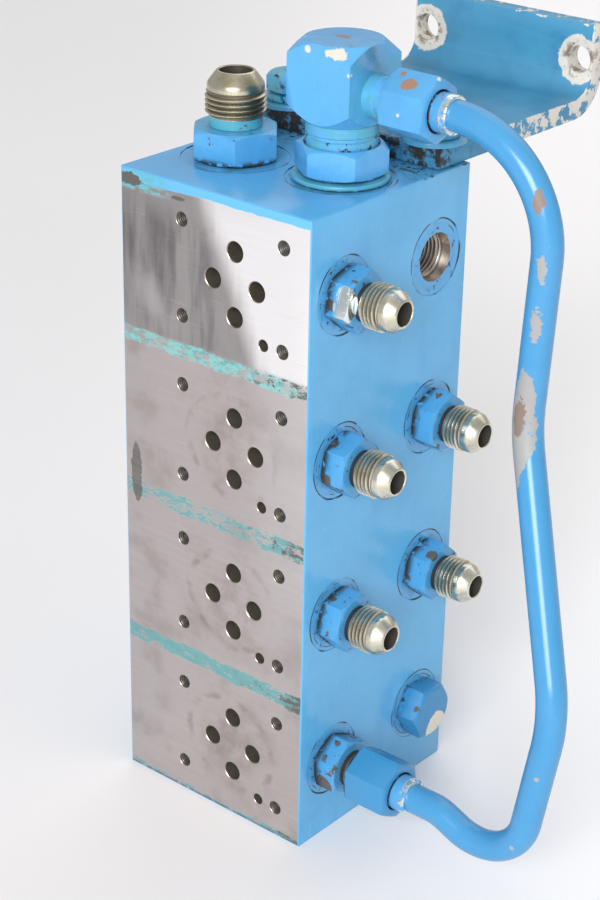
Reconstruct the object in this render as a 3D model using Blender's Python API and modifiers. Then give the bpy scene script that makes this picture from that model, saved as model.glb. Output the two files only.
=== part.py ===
"""Four-station hydraulic manifold block with its fittings, jumper tube and hanging bracket.

Frame: metres, +Z up. The origin is the centre of the block's bottom face. -Y is the ground
valve face, +X the side that carries the hose fittings, +Y the side the bracket reaches out to.
"""

from math import cos, pi, radians, sin, sqrt, tan

import bmesh
import bpy
from mathutils import Matrix, Vector

MM = 0.001
GAP = 0.3 * MM  # kept between pieces that touch

# Block
BLOCK_SIDE = 76.2 * MM
BLOCK_HEIGHT = 215.9 * MM
BLOCK_CHAMFER = 0.8 * MM
HALF = BLOCK_SIDE / 2
STATIONS = 4
PITCH = BLOCK_HEIGHT / STATIONS

# Valve pad, from the upper left fixing hole: right, down. Radii of the holes.
PAD_LEFT = -12.7 * MM
PAD_ABOVE_CENTRE = 15.5 * MM
FIXING_HOLES = [(0.0, 0.0), (40.5 * MM, -0.75 * MM), (40.5 * MM, 31.75 * MM), (0.0, 31.0 * MM)]
PIN_HOLE = (33.0 * MM, 31.75 * MM)
PRESSURE_PORT = (21.5 * MM, 25.9 * MM)
TANK_PORT = (21.5 * MM, 5.1 * MM)
A_PORT = (12.7 * MM, 15.5 * MM)
B_PORT = (30.2 * MM, 15.5 * MM)
PORT_RADIUS = 3.18 * MM
FIXING_RADIUS, FIXING_DEPTH = 2.15 * MM, 14.0 * MM
PIN_RADIUS, PIN_DEPTH = 1.8 * MM, 5.0 * MM

# Straight-thread O-ring ports: bore, sealing cone at the mouth, spot face
SMALL_BORE, SMALL_MOUTH, SMALL_SPOT = 6.45 * MM, 7.85 * MM, 12.3 * MM
LARGE_BORE, LARGE_MOUTH, LARGE_SPOT = 10.1 * MM, 11.95 * MM, 17.2 * MM
SMALL_DEPTH, LARGE_DEPTH = 13.5 * MM, 15.0 * MM
SPOT_DEPTH = 0.25 * MM
SMALL_STEM, LARGE_STEM = SMALL_BORE - GAP, LARGE_BORE - GAP
SEAT = SPOT_DEPTH - GAP  # where a fitting's underside sits, below the face it is screwed into

# Ports on the side and on top, and the galleries under the top ports
COLUMN = 22.3 * MM
STRAIGHT_AT = (-18.5 * MM, -7.5 * MM)
ELBOW_AT = (18.3 * MM, -1.0 * MM)
TANK_GALLERY_AT = (-15.0 * MM, -4.0 * MM)
GALLERY_RADIUS = 5.5 * MM
PLUG_BORE, PLUG_DEPTH = 7.6 * MM, 12.0 * MM  # of the plugs that close the galleries' bottom ends
GALLERY_PLUG_LENGTH, SOCKET_FLATS = 9.5 * MM, 6.35 * MM

# 37-degree flare ends
FLARE_ANGLE = radians(37)
SMALL_HEX, LARGE_HEX = 17.46 * MM, 25.4 * MM
SMALL_THREAD, SMALL_NOSE, SMALL_TIP, SMALL_THROAT = 7.14 * MM, 6.6 * MM, 4.1 * MM, 3.75 * MM
LARGE_THREAD, LARGE_NOSE, LARGE_TIP, LARGE_THROAT = 9.52 * MM, 8.9 * MM, 5.6 * MM, 5.15 * MM
SMALL_SIZES = (SMALL_THREAD, SMALL_NOSE, SMALL_TIP, 6.2 * MM)
LARGE_SIZES = (LARGE_THREAD, LARGE_NOSE, LARGE_TIP, 8.5 * MM)

# Screwed ends: the groove of the O-ring, and the length inside the block
SMALL_GROOVE, LARGE_GROOVE = 5.6 * MM, 9.2 * MM
SMALL_REACH, LARGE_REACH = 9.9 * MM, 10.5 * MM

# Heights above the face that a fitting is screwed into: hexagon, thread from and to, tip
SIDE_HEX, SIDE_THREAD, SIDE_LENGTH = 8.3 * MM, (10.5 * MM, 17.5 * MM), 22.5 * MM
TOP_HEX, TOP_THREAD, TOP_LENGTH = 10.1 * MM, (14.1 * MM, 21.6 * MM), 27.4 * MM
PLUG_HEAD = 8.0 * MM

# How far each hexagon was turned when it was tightened, from the top station down
ADAPTER_TURN = {"front": (17.5, 21.0, 13.0, 36.0), "rear": (0.0, 24.0, 18.0, 0.0)}
PORT_PLUG_TURN, TOP_HEX_TURN = radians(-3.0), radians(-19.1)

# Elbow
ELBOW_BAR = 24.0 * MM
ELBOW_BOTTOM, ELBOW_TOP = 233.8 * MM, 258.4 * MM
ELBOW_DROP = 4.4 * MM  # from the end faces to the turned-off corners of the bar
ELBOW_NECK = 11.1 * MM
OUTLET_HEIGHT = 243.2 * MM
WASHER_THICK, WASHER_RADIUS = 1.5 * MM, 15.2 * MM
LOCKNUT_HEIGHT, LOCKNUT_TURN = 9.35 * MM, radians(-4.7)
OUTLET_THREAD, OUTLET_TIP = (5.9 * MM, 12.9 * MM), 48.2 * MM

# Tube
TUBE_RADIUS, TUBE_BORE = 4.76 * MM, 3.86 * MM
SLEEVE_RADIUS, SLEEVE_PAST_TIP = 6.0 * MM, 11.7 * MM
NUT_LENGTH, NUT_PAST_TIP = 16.2 * MM, 6.0 * MM
NUT_TURNS = {"upper": radians(29.0), "lower": radians(30.6)}
FLARE_LENGTH, FLARE_OVERLAP = 2.0 * MM, 1.0 * MM
SIDE_TIP = HALF + SIDE_LENGTH

# Bracket
PLATE, BRACKET_WIDTH = 6.35 * MM, 73.0 * MM
BRACKET_FRONT, BRACKET_BACK = 24.0 * MM, 112.5 * MM
FLANGE_TOP, BEND_RADIUS = 246.0 * MM, 8.0 * MM
FLANGE_HOLE = (31.2 * MM, 234.0 * MM)
FLANGE_HOLE_RADIUS = 4.6 * MM
BOLT_AT = (29.0 * MM, 31.0 * MM)
BOLT_RADIUS, BOLT_HEX, BOLT_HEAD = 4.6 * MM, 14.3 * MM, 6.0 * MM
BOLT_DEPTH, BOLT_REACH = 18.0 * MM, 14.0 * MM
BOLT_TURN = radians(20)
FLAT_WASHER, FLAT_WASHER_RADIUS = 1.6 * MM, 10.3 * MM
LOCK_WASHER, LOCK_WASHER_RADIUS = 2.2 * MM, 8.2 * MM

SIDES, FINE_SIDES = 16, 24

TO_X = Matrix.Rotation(pi / 2, 4, "Y")  # a piece's own +Z onto world +X


def collection(name):
    made = bpy.data.collections.new(name)
    bpy.context.scene.collection.children.link(made)
    return made


def material(name, colour, roughness, metallic):
    made = bpy.data.materials.new(name)
    made.use_nodes = True
    shader = made.node_tree.nodes["Principled BSDF"]
    shader.inputs["Base Color"].default_value = (*colour, 1)
    shader.inputs["Roughness"].default_value = roughness
    shader.inputs["Metallic"].default_value = metallic
    return made


for old in list(bpy.data.objects):
    bpy.data.objects.remove(old)
PARTS = collection("hydraulic_manifold")
CUTTERS = collection("cutters")
BLUE = material("blue_paint", (0.12, 0.43, 0.76), 0.3, 0.0)
GROUND_STEEL = material("ground_steel", (0.55, 0.52, 0.51), 0.35, 1.0)
ZINC = material("yellow_zinc", (0.66, 0.62, 0.47), 0.3, 1.0)
BLACK_RUBBER = material("black_rubber", (0.02, 0.02, 0.02), 0.6, 0.0)


def add(name, mesh, where, finish=None, place=None):
    """A new object in a collection, with its mesh's own coordinates placed by a matrix."""
    made = bpy.data.objects.new(name, mesh)
    where.objects.link(made)
    if place is not None:
        made.matrix_world = place
    if finish is not None and not mesh.materials:
        mesh.materials.append(finish)
    return made


def hide_as_cutter(tool):
    tool.hide_render = True
    tool.display_type = "WIRE"
    return tool


def turned(name, profile, where, sides=SIDES, finish=None, place=None):
    """A profile of (radius, height) points, from the top down its outer side, turned round Z.
    A closed profile makes a ring; one that starts and ends at radius 0 makes a solid."""
    ring = profile[0][0] > 0
    mesh = bpy.data.meshes.new(name)
    count = len(profile)
    edges = [(i, (i + 1) % count) for i in range(count if ring else count - 1)]
    mesh.from_pydata([(radius, 0, height) for radius, height in profile], edges, [])
    made = add(name, mesh, where, finish, place)
    screw = made.modifiers.new("Turn", "SCREW")
    screw.axis = "Z"
    screw.steps = sides
    screw.render_steps = sides
    screw.use_merge_vertices = True
    screw.merge_threshold = 1e-6
    screw.use_smooth_shade = False
    return made


def hexagon(name, across_flats, low, high, where, turn=0.0, finish=None):
    """A hexagonal prism along Z, with a flat towards +X when turn is 0."""
    body = bmesh.new()
    bmesh.ops.create_cone(body, cap_ends=True, segments=6, radius1=across_flats / sqrt(3),
                          radius2=across_flats / sqrt(3), depth=high - low)
    mesh = bpy.data.meshes.new(name)
    body.to_mesh(mesh)
    body.free()
    mesh.transform(Matrix.Translation((0, 0, (low + high) / 2)) @ Matrix.Rotation(turn, 4, "Z"))
    return add(name, mesh, where, finish)


def box(name, low, high, where, finish=None):
    body = bmesh.new()
    size = [h - l for l, h in zip(low, high)]
    centre = [(h + l) / 2 for l, h in zip(low, high)]
    bmesh.ops.create_cube(body, size=1, matrix=Matrix.Translation(centre) @ Matrix.Diagonal((*size, 1)))
    mesh = bpy.data.meshes.new(name)
    body.to_mesh(mesh)
    body.free()
    return add(name, mesh, where, finish)


def shaped(target, joined=(), cut=(), kept=()):
    """The target joined with some tools, cut by others and kept only inside the last, as one mesh."""
    for operation, tools in (("UNION", joined), ("DIFFERENCE", cut), ("INTERSECT", kept)):
        for tool in tools:
            step = target.modifiers.new(tool.name, "BOOLEAN")
            step.operation = operation
            step.object = tool
    graph = bpy.context.evaluated_depsgraph_get()
    graph.update()
    mesh = bpy.data.meshes.new_from_object(target.evaluated_get(graph))
    target.modifiers.clear()
    target.data = mesh
    for tool in (*joined, *cut, *kept):
        bpy.data.objects.remove(tool)
    return target


def smooth(target):
    target.data.shade_smooth()
    target.data.set_sharp_from_angle(angle=radians(35))


# ---- Block ------------------------------------------------------------------------------------

def drilling(name, profile, start, towards, sides=SIDES, reach=MM):
    """A turned cutter whose profile of (radius, depth) points runs from its mouth inwards.
    It starts a reach outside the face, and ends flat, or at a point of radius 0."""
    start, towards = Vector(start), Vector(towards).normalized()
    turn = (-towards).to_track_quat("Z", "Y").to_matrix().to_4x4()
    points = [(0, reach), (profile[0][0], reach)] + [(r, -d) for r, d in profile]
    if profile[-1][0] > 0:
        points.append((0, -profile[-1][1]))
    hole = turned(name, points, CUTTERS, sides, place=Matrix.Translation(start) @ turn)
    return hide_as_cutter(hole)


def plain_hole(name, radius, depth, start, towards, sides=SIDES):
    """A drilled hole with a drill point at its end."""
    return drilling(name, [(radius, 0), (radius, depth), (0, depth + radius * 0.6)], start, towards, sides)


def port_profile(bore, mouth, spot, depth):
    """A spot face, the sealing cone and the tapped bore, its thread as a plain wall."""
    seat = SPOT_DEPTH + 2.6 * MM
    cone = mouth - 2.6 * MM * tan(radians(12))
    return [(spot, 0), (spot, SPOT_DEPTH), (mouth, SPOT_DEPTH), (cone, seat), (bore, seat + cone - bore),
            (bore, depth)]


def station_height(index):
    """The centre of a station, counted from the top."""
    return BLOCK_HEIGHT - (index + 0.5) * PITCH


def pad_point(offset, index):
    return (PAD_LEFT + offset[0], -HALF, station_height(index) + PAD_ABOVE_CENTRE - offset[1])


def slanted(name, offset, index, gallery, radius=PORT_RADIUS):
    """A straight drilling from a pad's port to the axis of a vertical gallery."""
    start = Vector(pad_point(offset, index))
    run = Vector((gallery[0], gallery[1], start.z)) - start
    return drilling(name, [(radius, 0), (radius, run.length)], start, run, 12, reach=4 * MM)


def cut_station(index):
    """The drillings of one valve station, with its two side ports."""
    tag = f"station_{index + 1}"
    inwards = (0, 1, 0)
    for number, offset in enumerate(FIXING_HOLES):
        start = pad_point(offset, index)
        plain_hole(f"{tag}_fixing_{number}", FIXING_RADIUS, FIXING_DEPTH, start, inwards, 10)
    plain_hole(f"{tag}_pin", PIN_RADIUS, PIN_DEPTH, pad_point(PIN_HOLE, index), inwards, 8)
    slanted(f"{tag}_pressure", PRESSURE_PORT, index, ELBOW_AT)
    slanted(f"{tag}_tank", TANK_PORT, index, TANK_GALLERY_AT)
    for letter, offset, column in (("a", A_PORT, COLUMN), ("b", B_PORT, -COLUMN)):
        start = pad_point(offset, index)
        drilling(f"{tag}_{letter}", [(PORT_RADIUS, 0), (PORT_RADIUS, HALF + column)], start, inwards, 12)
        mouth = (HALF, column, start[2])
        drilling(f"{tag}_{letter}_socket", port_profile(SMALL_BORE, SMALL_MOUTH, SMALL_SPOT, SMALL_DEPTH),
                 mouth, (-1, 0, 0))
        drilling(f"{tag}_{letter}_pilot", [(PORT_RADIUS + MM, 0), (PORT_RADIUS + MM, HALF - start[0] + MM)],
                 mouth, (-1, 0, 0), 12)


def manifold_block():
    body = box("manifold_block", (-HALF, -HALF, 0), (HALF, HALF, BLOCK_HEIGHT), PARTS, GROUND_STEEL)
    edge = body.modifiers.new("Edges", "BEVEL")
    edge.width = BLOCK_CHAMFER
    edge.segments = 1
    for index in range(STATIONS):
        cut_station(index)
    down, up = (0, 0, -1), (0, 0, 1)
    large = port_profile(LARGE_BORE, LARGE_MOUTH, LARGE_SPOT, LARGE_DEPTH)
    for name, port, gallery in (("tank", STRAIGHT_AT, TANK_GALLERY_AT), ("pressure", ELBOW_AT, ELBOW_AT)):
        drilling(f"{name}_port", large, (*port, BLOCK_HEIGHT), down, 20)
        drilling(f"{name}_gallery", [(GALLERY_RADIUS, 0), (GALLERY_RADIUS, BLOCK_HEIGHT - 20 * MM)],
                 (*gallery, BLOCK_HEIGHT - 10 * MM), down, 14)
        drilling(f"{name}_plug_port", [(PLUG_BORE + MM, 0), (PLUG_BORE, MM), (PLUG_BORE, PLUG_DEPTH)],
                 (*gallery, 0), up)
    for side in (-1, 1):
        mouth = (side * BOLT_AT[0], BOLT_AT[1], BLOCK_HEIGHT)
        plain_hole(f"bolt_hole_{side}", BOLT_RADIUS + GAP, BOLT_DEPTH, mouth, down, 14)
    cut = body.modifiers.new("Drillings", "BOOLEAN")
    cut.operand_type = "COLLECTION"
    cut.collection = CUTTERS
    cut.operation = "DIFFERENCE"
    cut.solver = "EXACT"


def gallery_plug(name, at):
    """A hollow-hexagon plug, screwed in flush, that closes the bottom end of a gallery."""
    radius, length, low = PLUG_BORE - GAP, GALLERY_PLUG_LENGTH, 0.6 * MM
    body = turned(name, [(0, length), (radius, length), (radius, low), (0, low)], PARTS, SIDES, ZINC)
    shaped(body, cut=[hexagon(name + "_socket", SOCKET_FLATS, 0, 6 * MM, CUTTERS)])
    body.location = (*at, 0)
    smooth(body)


# ---- Fittings ---------------------------------------------------------------------------------

def male_end(base, thread_from, thread_to, tip, sizes):
    """The outer side of a 37-degree flare end, from its tip down to its base height."""
    thread, nose, tip_radius, neck = sizes
    shoulder = tip - (nose - tip_radius) / tan(FLARE_ANGLE)
    return [(0, tip), (tip_radius, tip), (nose, shoulder), (nose, thread_to), (thread, thread_to),
            (thread, thread_from), (neck, thread_from), (neck, base)]


def stem(radius, groove, length, hex_low):
    """The screwed end below a fitting's hexagon, with the groove that holds its O-ring."""
    return [(groove, hex_low), (groove, hex_low - 2.9 * MM), (radius, hex_low - 3.3 * MM), (radius, -length),
            (0, -length)]


def adapter_mesh():
    """The straight adapter that all the side ports share, along Z from the face it screws into."""
    low = -SEAT
    outline = male_end(SIDE_HEX - MM, *SIDE_THREAD, SIDE_LENGTH, SMALL_SIZES)
    outline += stem(SMALL_STEM, SMALL_GROOVE, SMALL_REACH, low + 0.5 * MM)
    body = turned("adapter", outline, CUTTERS, SIDES)
    hexa = hexagon("adapter_hex", SMALL_HEX, low, SIDE_HEX, CUTTERS)
    core = [(0, 40 * MM), (SMALL_THROAT, 40 * MM), (SMALL_THROAT, -20 * MM), (0, -20 * MM)]
    bore = turned("adapter_bore", core, CUTTERS, 12)
    shaped(body, joined=[hexa], cut=[bore])
    mesh = body.data
    bpy.data.objects.remove(body)
    return mesh


def side_fittings():
    """Adapters in two columns, one left empty at the top and one plugged at the bottom."""
    mesh = adapter_mesh()
    mesh.materials.append(BLUE)
    for index in range(STATIONS):
        for column, name in ((-COLUMN, "front"), (COLUMN, "rear")):
            number = index + 1
            place = Matrix.Translation((HALF, column, station_height(index))) @ TO_X
            if (index, name) == (0, "rear"):
                continue
            if (index, name) == (STATIONS - 1, "rear"):
                port_plug(place)
            else:
                label = "tube_adapter" if index == STATIONS - 1 else f"{name}_adapter_{number}"
                turn = Matrix.Rotation(radians(ADAPTER_TURN[name][index]), 4, "Z")
                smooth(add(label, mesh, PARTS, place=place @ turn))
            groove = place @ Matrix.Translation((0, 0, -1.1 * MM))
            o_ring(f"{name}_oring_{number}", 6.7 * MM, 0.65 * MM, groove)


def port_plug(place):
    low = -SEAT
    outline = [(0, PLUG_HEAD - MM), (SMALL_GROOVE, PLUG_HEAD - MM)]
    outline += stem(SMALL_STEM, SMALL_GROOVE, SMALL_REACH, low + 0.5 * MM)
    body = turned("port_plug", outline, PARTS, SIDES, BLUE)
    shaped(body, joined=[hexagon("plug_hex", SMALL_HEX, low, PLUG_HEAD, CUTTERS, PORT_PLUG_TURN)])
    body.matrix_world = place
    smooth(body)


def o_ring(name, major, minor, place):
    points = [(major + minor * cos(a), minor * sin(a)) for a in (radians(-60 * k) for k in range(6))]
    ring = turned(name, points, PARTS, 12, BLACK_RUBBER, place)
    ring.modifiers["Turn"].use_smooth_shade = True


def top_straight():
    """The large straight adapter in the tank port."""
    low = -SEAT
    outline = male_end(TOP_HEX - MM, *TOP_THREAD, TOP_LENGTH, LARGE_SIZES)
    outline += stem(LARGE_STEM, LARGE_GROOVE, LARGE_REACH, low + 0.5 * MM)
    body = turned("top_adapter", outline, PARTS, FINE_SIDES, BLUE)
    core = [(0, 40 * MM), (LARGE_THROAT, 40 * MM), (LARGE_THROAT, -20 * MM), (0, -20 * MM)]
    bore = turned("top_bore", core, CUTTERS, SIDES)
    shaped(body, joined=[hexagon("top_hex", LARGE_HEX, low, TOP_HEX, CUTTERS, TOP_HEX_TURN)], cut=[bore])
    place = Matrix.Translation((*STRAIGHT_AT, BLOCK_HEIGHT))
    body.matrix_world = place
    smooth(body)
    o_ring("top_adapter_oring", 10.4 * MM, 0.85 * MM, place @ Matrix.Translation((0, 0, -1.35 * MM)))


def elbow():
    """A right-angle elbow forged from square bar, with its washer and locknut."""
    x, y = ELBOW_AT
    place = Matrix.Translation((x, y, 0))
    face = BLOCK_HEIGHT + GAP
    foot = BLOCK_HEIGHT - LARGE_REACH
    body = turned("elbow_body", [(0, ELBOW_BOTTOM + MM), (ELBOW_NECK, ELBOW_BOTTOM + MM), (ELBOW_NECK, face),
                                 (LARGE_GROOVE, face), (LARGE_GROOVE, face - 2.9 * MM),
                                 (LARGE_STEM, face - 3.3 * MM), (LARGE_STEM, foot), (0, foot)],
                  PARTS, FINE_SIDES, BLUE, place)
    half = ELBOW_BAR / 2
    corner = half * sqrt(2)
    bar = box("elbow_bar", (x - half, y - half, ELBOW_BOTTOM), (x + half, y + half, ELBOW_TOP), CUTTERS)
    blank = [(0, ELBOW_TOP), (half, ELBOW_TOP), (corner, ELBOW_TOP - ELBOW_DROP),
             (corner, ELBOW_BOTTOM + ELBOW_DROP), (half, ELBOW_BOTTOM), (0, ELBOW_BOTTOM)]
    shaped(bar, kept=[turned("elbow_blank", blank, CUTTERS, FINE_SIDES, place=place)])
    outlet_start = x + half
    outline = male_end(-MM, *OUTLET_THREAD, OUTLET_TIP - outlet_start, SMALL_SIZES) + [(0, -MM)]
    outlet = turned("elbow_outlet", outline, CUTTERS, SIDES,
                    place=Matrix.Translation((outlet_start, y, OUTLET_HEIGHT)) @ TO_X)
    rise = turned("elbow_rise", [(0, OUTLET_HEIGHT), (LARGE_THROAT, OUTLET_HEIGHT), (LARGE_THROAT, foot - MM),
                                 (0, foot - MM)], CUTTERS, 12, place=place)
    across = turned("elbow_across", [(0, 40 * MM), (SMALL_THROAT, 40 * MM), (SMALL_THROAT, 0), (0, 0)],
                    CUTTERS, 12, place=Matrix.Translation((x, y, OUTLET_HEIGHT)) @ TO_X)
    shaped(body, joined=[bar, outlet], cut=[rise, across])
    smooth(body)
    washer_low = BLOCK_HEIGHT - SEAT
    washer_top = washer_low + WASHER_THICK
    hole = ELBOW_NECK + GAP
    turned("elbow_washer", [(WASHER_RADIUS, washer_top), (WASHER_RADIUS, washer_low), (hole, washer_low),
                            (hole, washer_top)], PARTS, FINE_SIDES, BLUE, place)
    low = washer_top + GAP
    nut = hexagon("elbow_locknut", LARGE_HEX, low, low + LOCKNUT_HEIGHT, PARTS, LOCKNUT_TURN, BLUE)
    nut_hole = turned("locknut_hole", [(0, 240 * MM), (hole, 240 * MM), (hole, 210 * MM), (0, 210 * MM)],
                      CUTTERS, FINE_SIDES)
    shaped(nut, cut=[nut_hole])
    nut.matrix_world = place
    smooth(nut)
    o_ring("elbow_oring", 10.4 * MM, 0.85 * MM, place @ Matrix.Translation((0, 0, BLOCK_HEIGHT - 1.35 * MM)))


# ---- Tube -------------------------------------------------------------------------------------

def tube_nut(name, tip, turn):
    """The nut that pulls a flared tube end onto a fitting. Along +X; tip is the fitting's tip."""
    back = tip + NUT_PAST_TIP
    front = back - NUT_LENGTH
    hexa = hexagon(name, SMALL_HEX, front, back, PARTS, turn, BLUE)
    wide, narrow = SMALL_THREAD + GAP, SLEEVE_RADIUS + 0.35 * MM
    hollow = [(0, back + MM), (narrow, back + MM), (narrow, tip + 2.4 * MM), (wide, tip + 1.35 * MM),
              (wide, front - MM), (0, front - MM)]
    shaped(hexa, cut=[turned(name + "_hollow", hollow, CUTTERS, SIDES)])
    smooth(hexa)
    return hexa


def tube_sleeve(name, tip):
    """The sleeve that backs the tube's flare inside the nut."""
    inner, head, end = TUBE_RADIUS + GAP, SMALL_THREAD - 0.1 * MM, tip + SLEEVE_PAST_TIP
    profile = [(inner, end), (SLEEVE_RADIUS, end), (SLEEVE_RADIUS, tip + 1.8 * MM), (head, tip + 0.9 * MM),
               (head, tip - 0.4 * MM), (6.4 * MM, tip - 0.4 * MM), (inner, tip + 1.1 * MM)]
    return turned(name, profile, PARTS, SIDES, BLUE)


def rounded_route(corners, steps=5):
    """The corners (point, bend radius) joined by straight runs and circular bends."""
    route = [Vector(corners[0][0])]
    for (before, _), (corner, radius), (after, _) in zip(corners, corners[1:], corners[2:]):
        corner = Vector(corner)
        back, ahead = (Vector(before) - corner).normalized(), (Vector(after) - corner).normalized()
        half_angle = back.angle(ahead) / 2
        centre = corner + (back + ahead).normalized() * radius / sin(half_angle)
        first = corner + back * radius / tan(half_angle) - centre
        last = corner + ahead * radius / tan(half_angle) - centre
        sweep = first.angle(last)
        for step in range(steps + 1):
            share = step / steps
            spoke = first * sin((1 - share) * sweep) + last * sin(share * sweep)
            route.append(centre + spoke / sin(sweep))
    route.append(Vector(corners[-1][0]))
    return route


LOWER_END = (SIDE_TIP - FLARE_OVERLAP, -COLUMN, station_height(STATIONS - 1))
UPPER_END = (OUTLET_TIP - FLARE_OVERLAP, ELBOW_AT[1], OUTLET_HEIGHT)
TUBE_CORNERS = [
    (UPPER_END, 0),
    ((95.5 * MM, ELBOW_AT[1], OUTLET_HEIGHT), 34 * MM),
    ((91.0 * MM, ELBOW_AT[1], 155.0 * MM), 30 * MM),
    ((121.5 * MM, -COLUMN, 77.7 * MM), 37 * MM),
    ((111.8 * MM, -COLUMN, 20.4 * MM), 18.0 * MM),
    ((91.8 * MM, -COLUMN, 23.0 * MM), 14 * MM),
    ((82.5 * MM, -COLUMN, LOWER_END[2]), 14 * MM),
    (LOWER_END, 0),
]


def swept(name, route, radius, sides_step, end_radius, past=0.0):
    """A round bar along the route, widened at both ends into flares, as a mesh. It can run on
    past the ends of the route, with the flares going on widening."""
    curve = bpy.data.curves.new(name, "CURVE")
    curve.dimensions = "3D"
    curve.bevel_depth = radius
    curve.bevel_resolution = sides_step
    curve.use_fill_caps = True
    first, last = (route[1] - route[0]).normalized(), (route[-2] - route[-1]).normalized()
    points = [route[0] - first * past, route[0] + first * FLARE_LENGTH, *route[1:-1],
              route[-1] + last * FLARE_LENGTH, route[-1] - last * past]
    end_radius += (end_radius - radius) * past / FLARE_LENGTH
    spline = curve.splines.new("POLY")
    spline.points.add(len(points) - 1)
    for number, (point, where) in enumerate(zip(spline.points, points)):
        point.co = (*where, 1)
        point.radius = end_radius / radius if number in (0, len(points) - 1) else 1
    guide = bpy.data.objects.new(name + "_guide", curve)
    CUTTERS.objects.link(guide)
    graph = bpy.context.evaluated_depsgraph_get()
    mesh = bpy.data.meshes.new_from_object(guide.evaluated_get(graph))
    bpy.data.objects.remove(guide)
    body = bmesh.new()
    body.from_mesh(mesh)
    bmesh.ops.remove_doubles(body, verts=body.verts, dist=1e-6)
    body.to_mesh(mesh)
    body.free()
    return mesh


def jumper_tube():
    """The bent steel tube from the elbow to the lowest front port, hollow, flared at both ends."""
    route = rounded_route(TUBE_CORNERS)
    inner_end = SMALL_TIP + FLARE_OVERLAP * tan(FLARE_ANGLE) + 0.45 * MM
    body = add("jumper_tube", swept("jumper_tube", route, TUBE_RADIUS, 2, inner_end + 1.1 * MM), PARTS, BLUE)
    hollow = add("tube_hollow", swept("tube_hollow", route, TUBE_BORE, 2, inner_end, past=MM), CUTTERS)
    shaped(body, cut=[hollow])
    smooth(body)


def tube_and_nuts():
    jumper_tube()
    upper = Matrix.Translation((0, ELBOW_AT[1], OUTLET_HEIGHT)) @ TO_X
    lower = Matrix.Translation((0, -COLUMN, LOWER_END[2])) @ TO_X
    for name, tip, place in (("upper", OUTLET_TIP, upper), ("lower", SIDE_TIP, lower)):
        tube_nut(name + "_tube_nut", tip, NUT_TURNS[name]).matrix_world = place
        tube_sleeve(name + "_tube_sleeve", tip).matrix_world = place


# ---- Bracket ----------------------------------------------------------------------------------

def bracket_outline():
    """The bent plate seen from the side, as (y, z) points round its edge."""
    low = BLOCK_HEIGHT + GAP
    inner_y, outer_y = BRACKET_BACK - PLATE, BRACKET_BACK
    centre = (inner_y - BEND_RADIUS, low + PLATE + BEND_RADIUS)
    quarter = [radians(-90 + 15 * k) for k in range(7)]
    wide, tight = BEND_RADIUS + PLATE, BEND_RADIUS
    outer = [(centre[0] + wide * cos(a), centre[1] + wide * sin(a)) for a in quarter]
    inner = [(centre[0] + tight * cos(a), centre[1] + tight * sin(a)) for a in reversed(quarter)]
    return ([(BRACKET_FRONT, low)] + outer + [(outer_y, FLANGE_TOP), (inner_y, FLANGE_TOP)] + inner
            + [(BRACKET_FRONT, low + PLATE)])


def mounting_bracket():
    """A strip of plate bent up at its far end, with two bolt holes and two hanging holes."""
    curve = bpy.data.curves.new("bracket_outline", "CURVE")
    curve.dimensions = "2D"
    curve.fill_mode = "BOTH"
    curve.extrude = BRACKET_WIDTH / 2
    outline = bracket_outline()
    spline = curve.splines.new("POLY")
    spline.points.add(len(outline) - 1)
    spline.use_cyclic_u = True
    for point, (y, z) in zip(spline.points, outline):
        point.co = (y, z, 0, 1)
    guide = bpy.data.objects.new("bracket_guide", curve)
    CUTTERS.objects.link(guide)
    graph = bpy.context.evaluated_depsgraph_get()
    mesh = bpy.data.meshes.new_from_object(guide.evaluated_get(graph))
    bpy.data.objects.remove(guide)
    body = bmesh.new()
    body.from_mesh(mesh)
    bmesh.ops.remove_doubles(body, verts=body.verts, dist=1e-6)
    body.to_mesh(mesh)
    body.free()
    mesh.transform(Matrix(((0, 0, 1, 0), (1, 0, 0, 0), (0, 1, 0, 0), (0, 0, 0, 1))))
    plate = add("mounting_bracket", mesh, PARTS, BLUE)
    holes = []
    for side in (-1, 1):
        bolt = Matrix.Translation((side * BOLT_AT[0], BOLT_AT[1], BLOCK_HEIGHT))
        clear = BOLT_RADIUS + GAP
        hang = Matrix.Translation((side * FLANGE_HOLE[0], BRACKET_BACK, FLANGE_HOLE[1]))
        hang @= Matrix.Rotation(pi / 2, 4, "X")
        for name, radius, place in (("leg", clear, bolt), ("flange", FLANGE_HOLE_RADIUS, hang)):
            pin = [(0, 20 * MM), (radius, 20 * MM), (radius, -20 * MM), (0, -20 * MM)]
            holes.append(turned(f"{name}_hole_{side}", pin, CUTTERS, SIDES, place=place))
    shaped(plate, cut=holes)
    smooth(plate)


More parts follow.
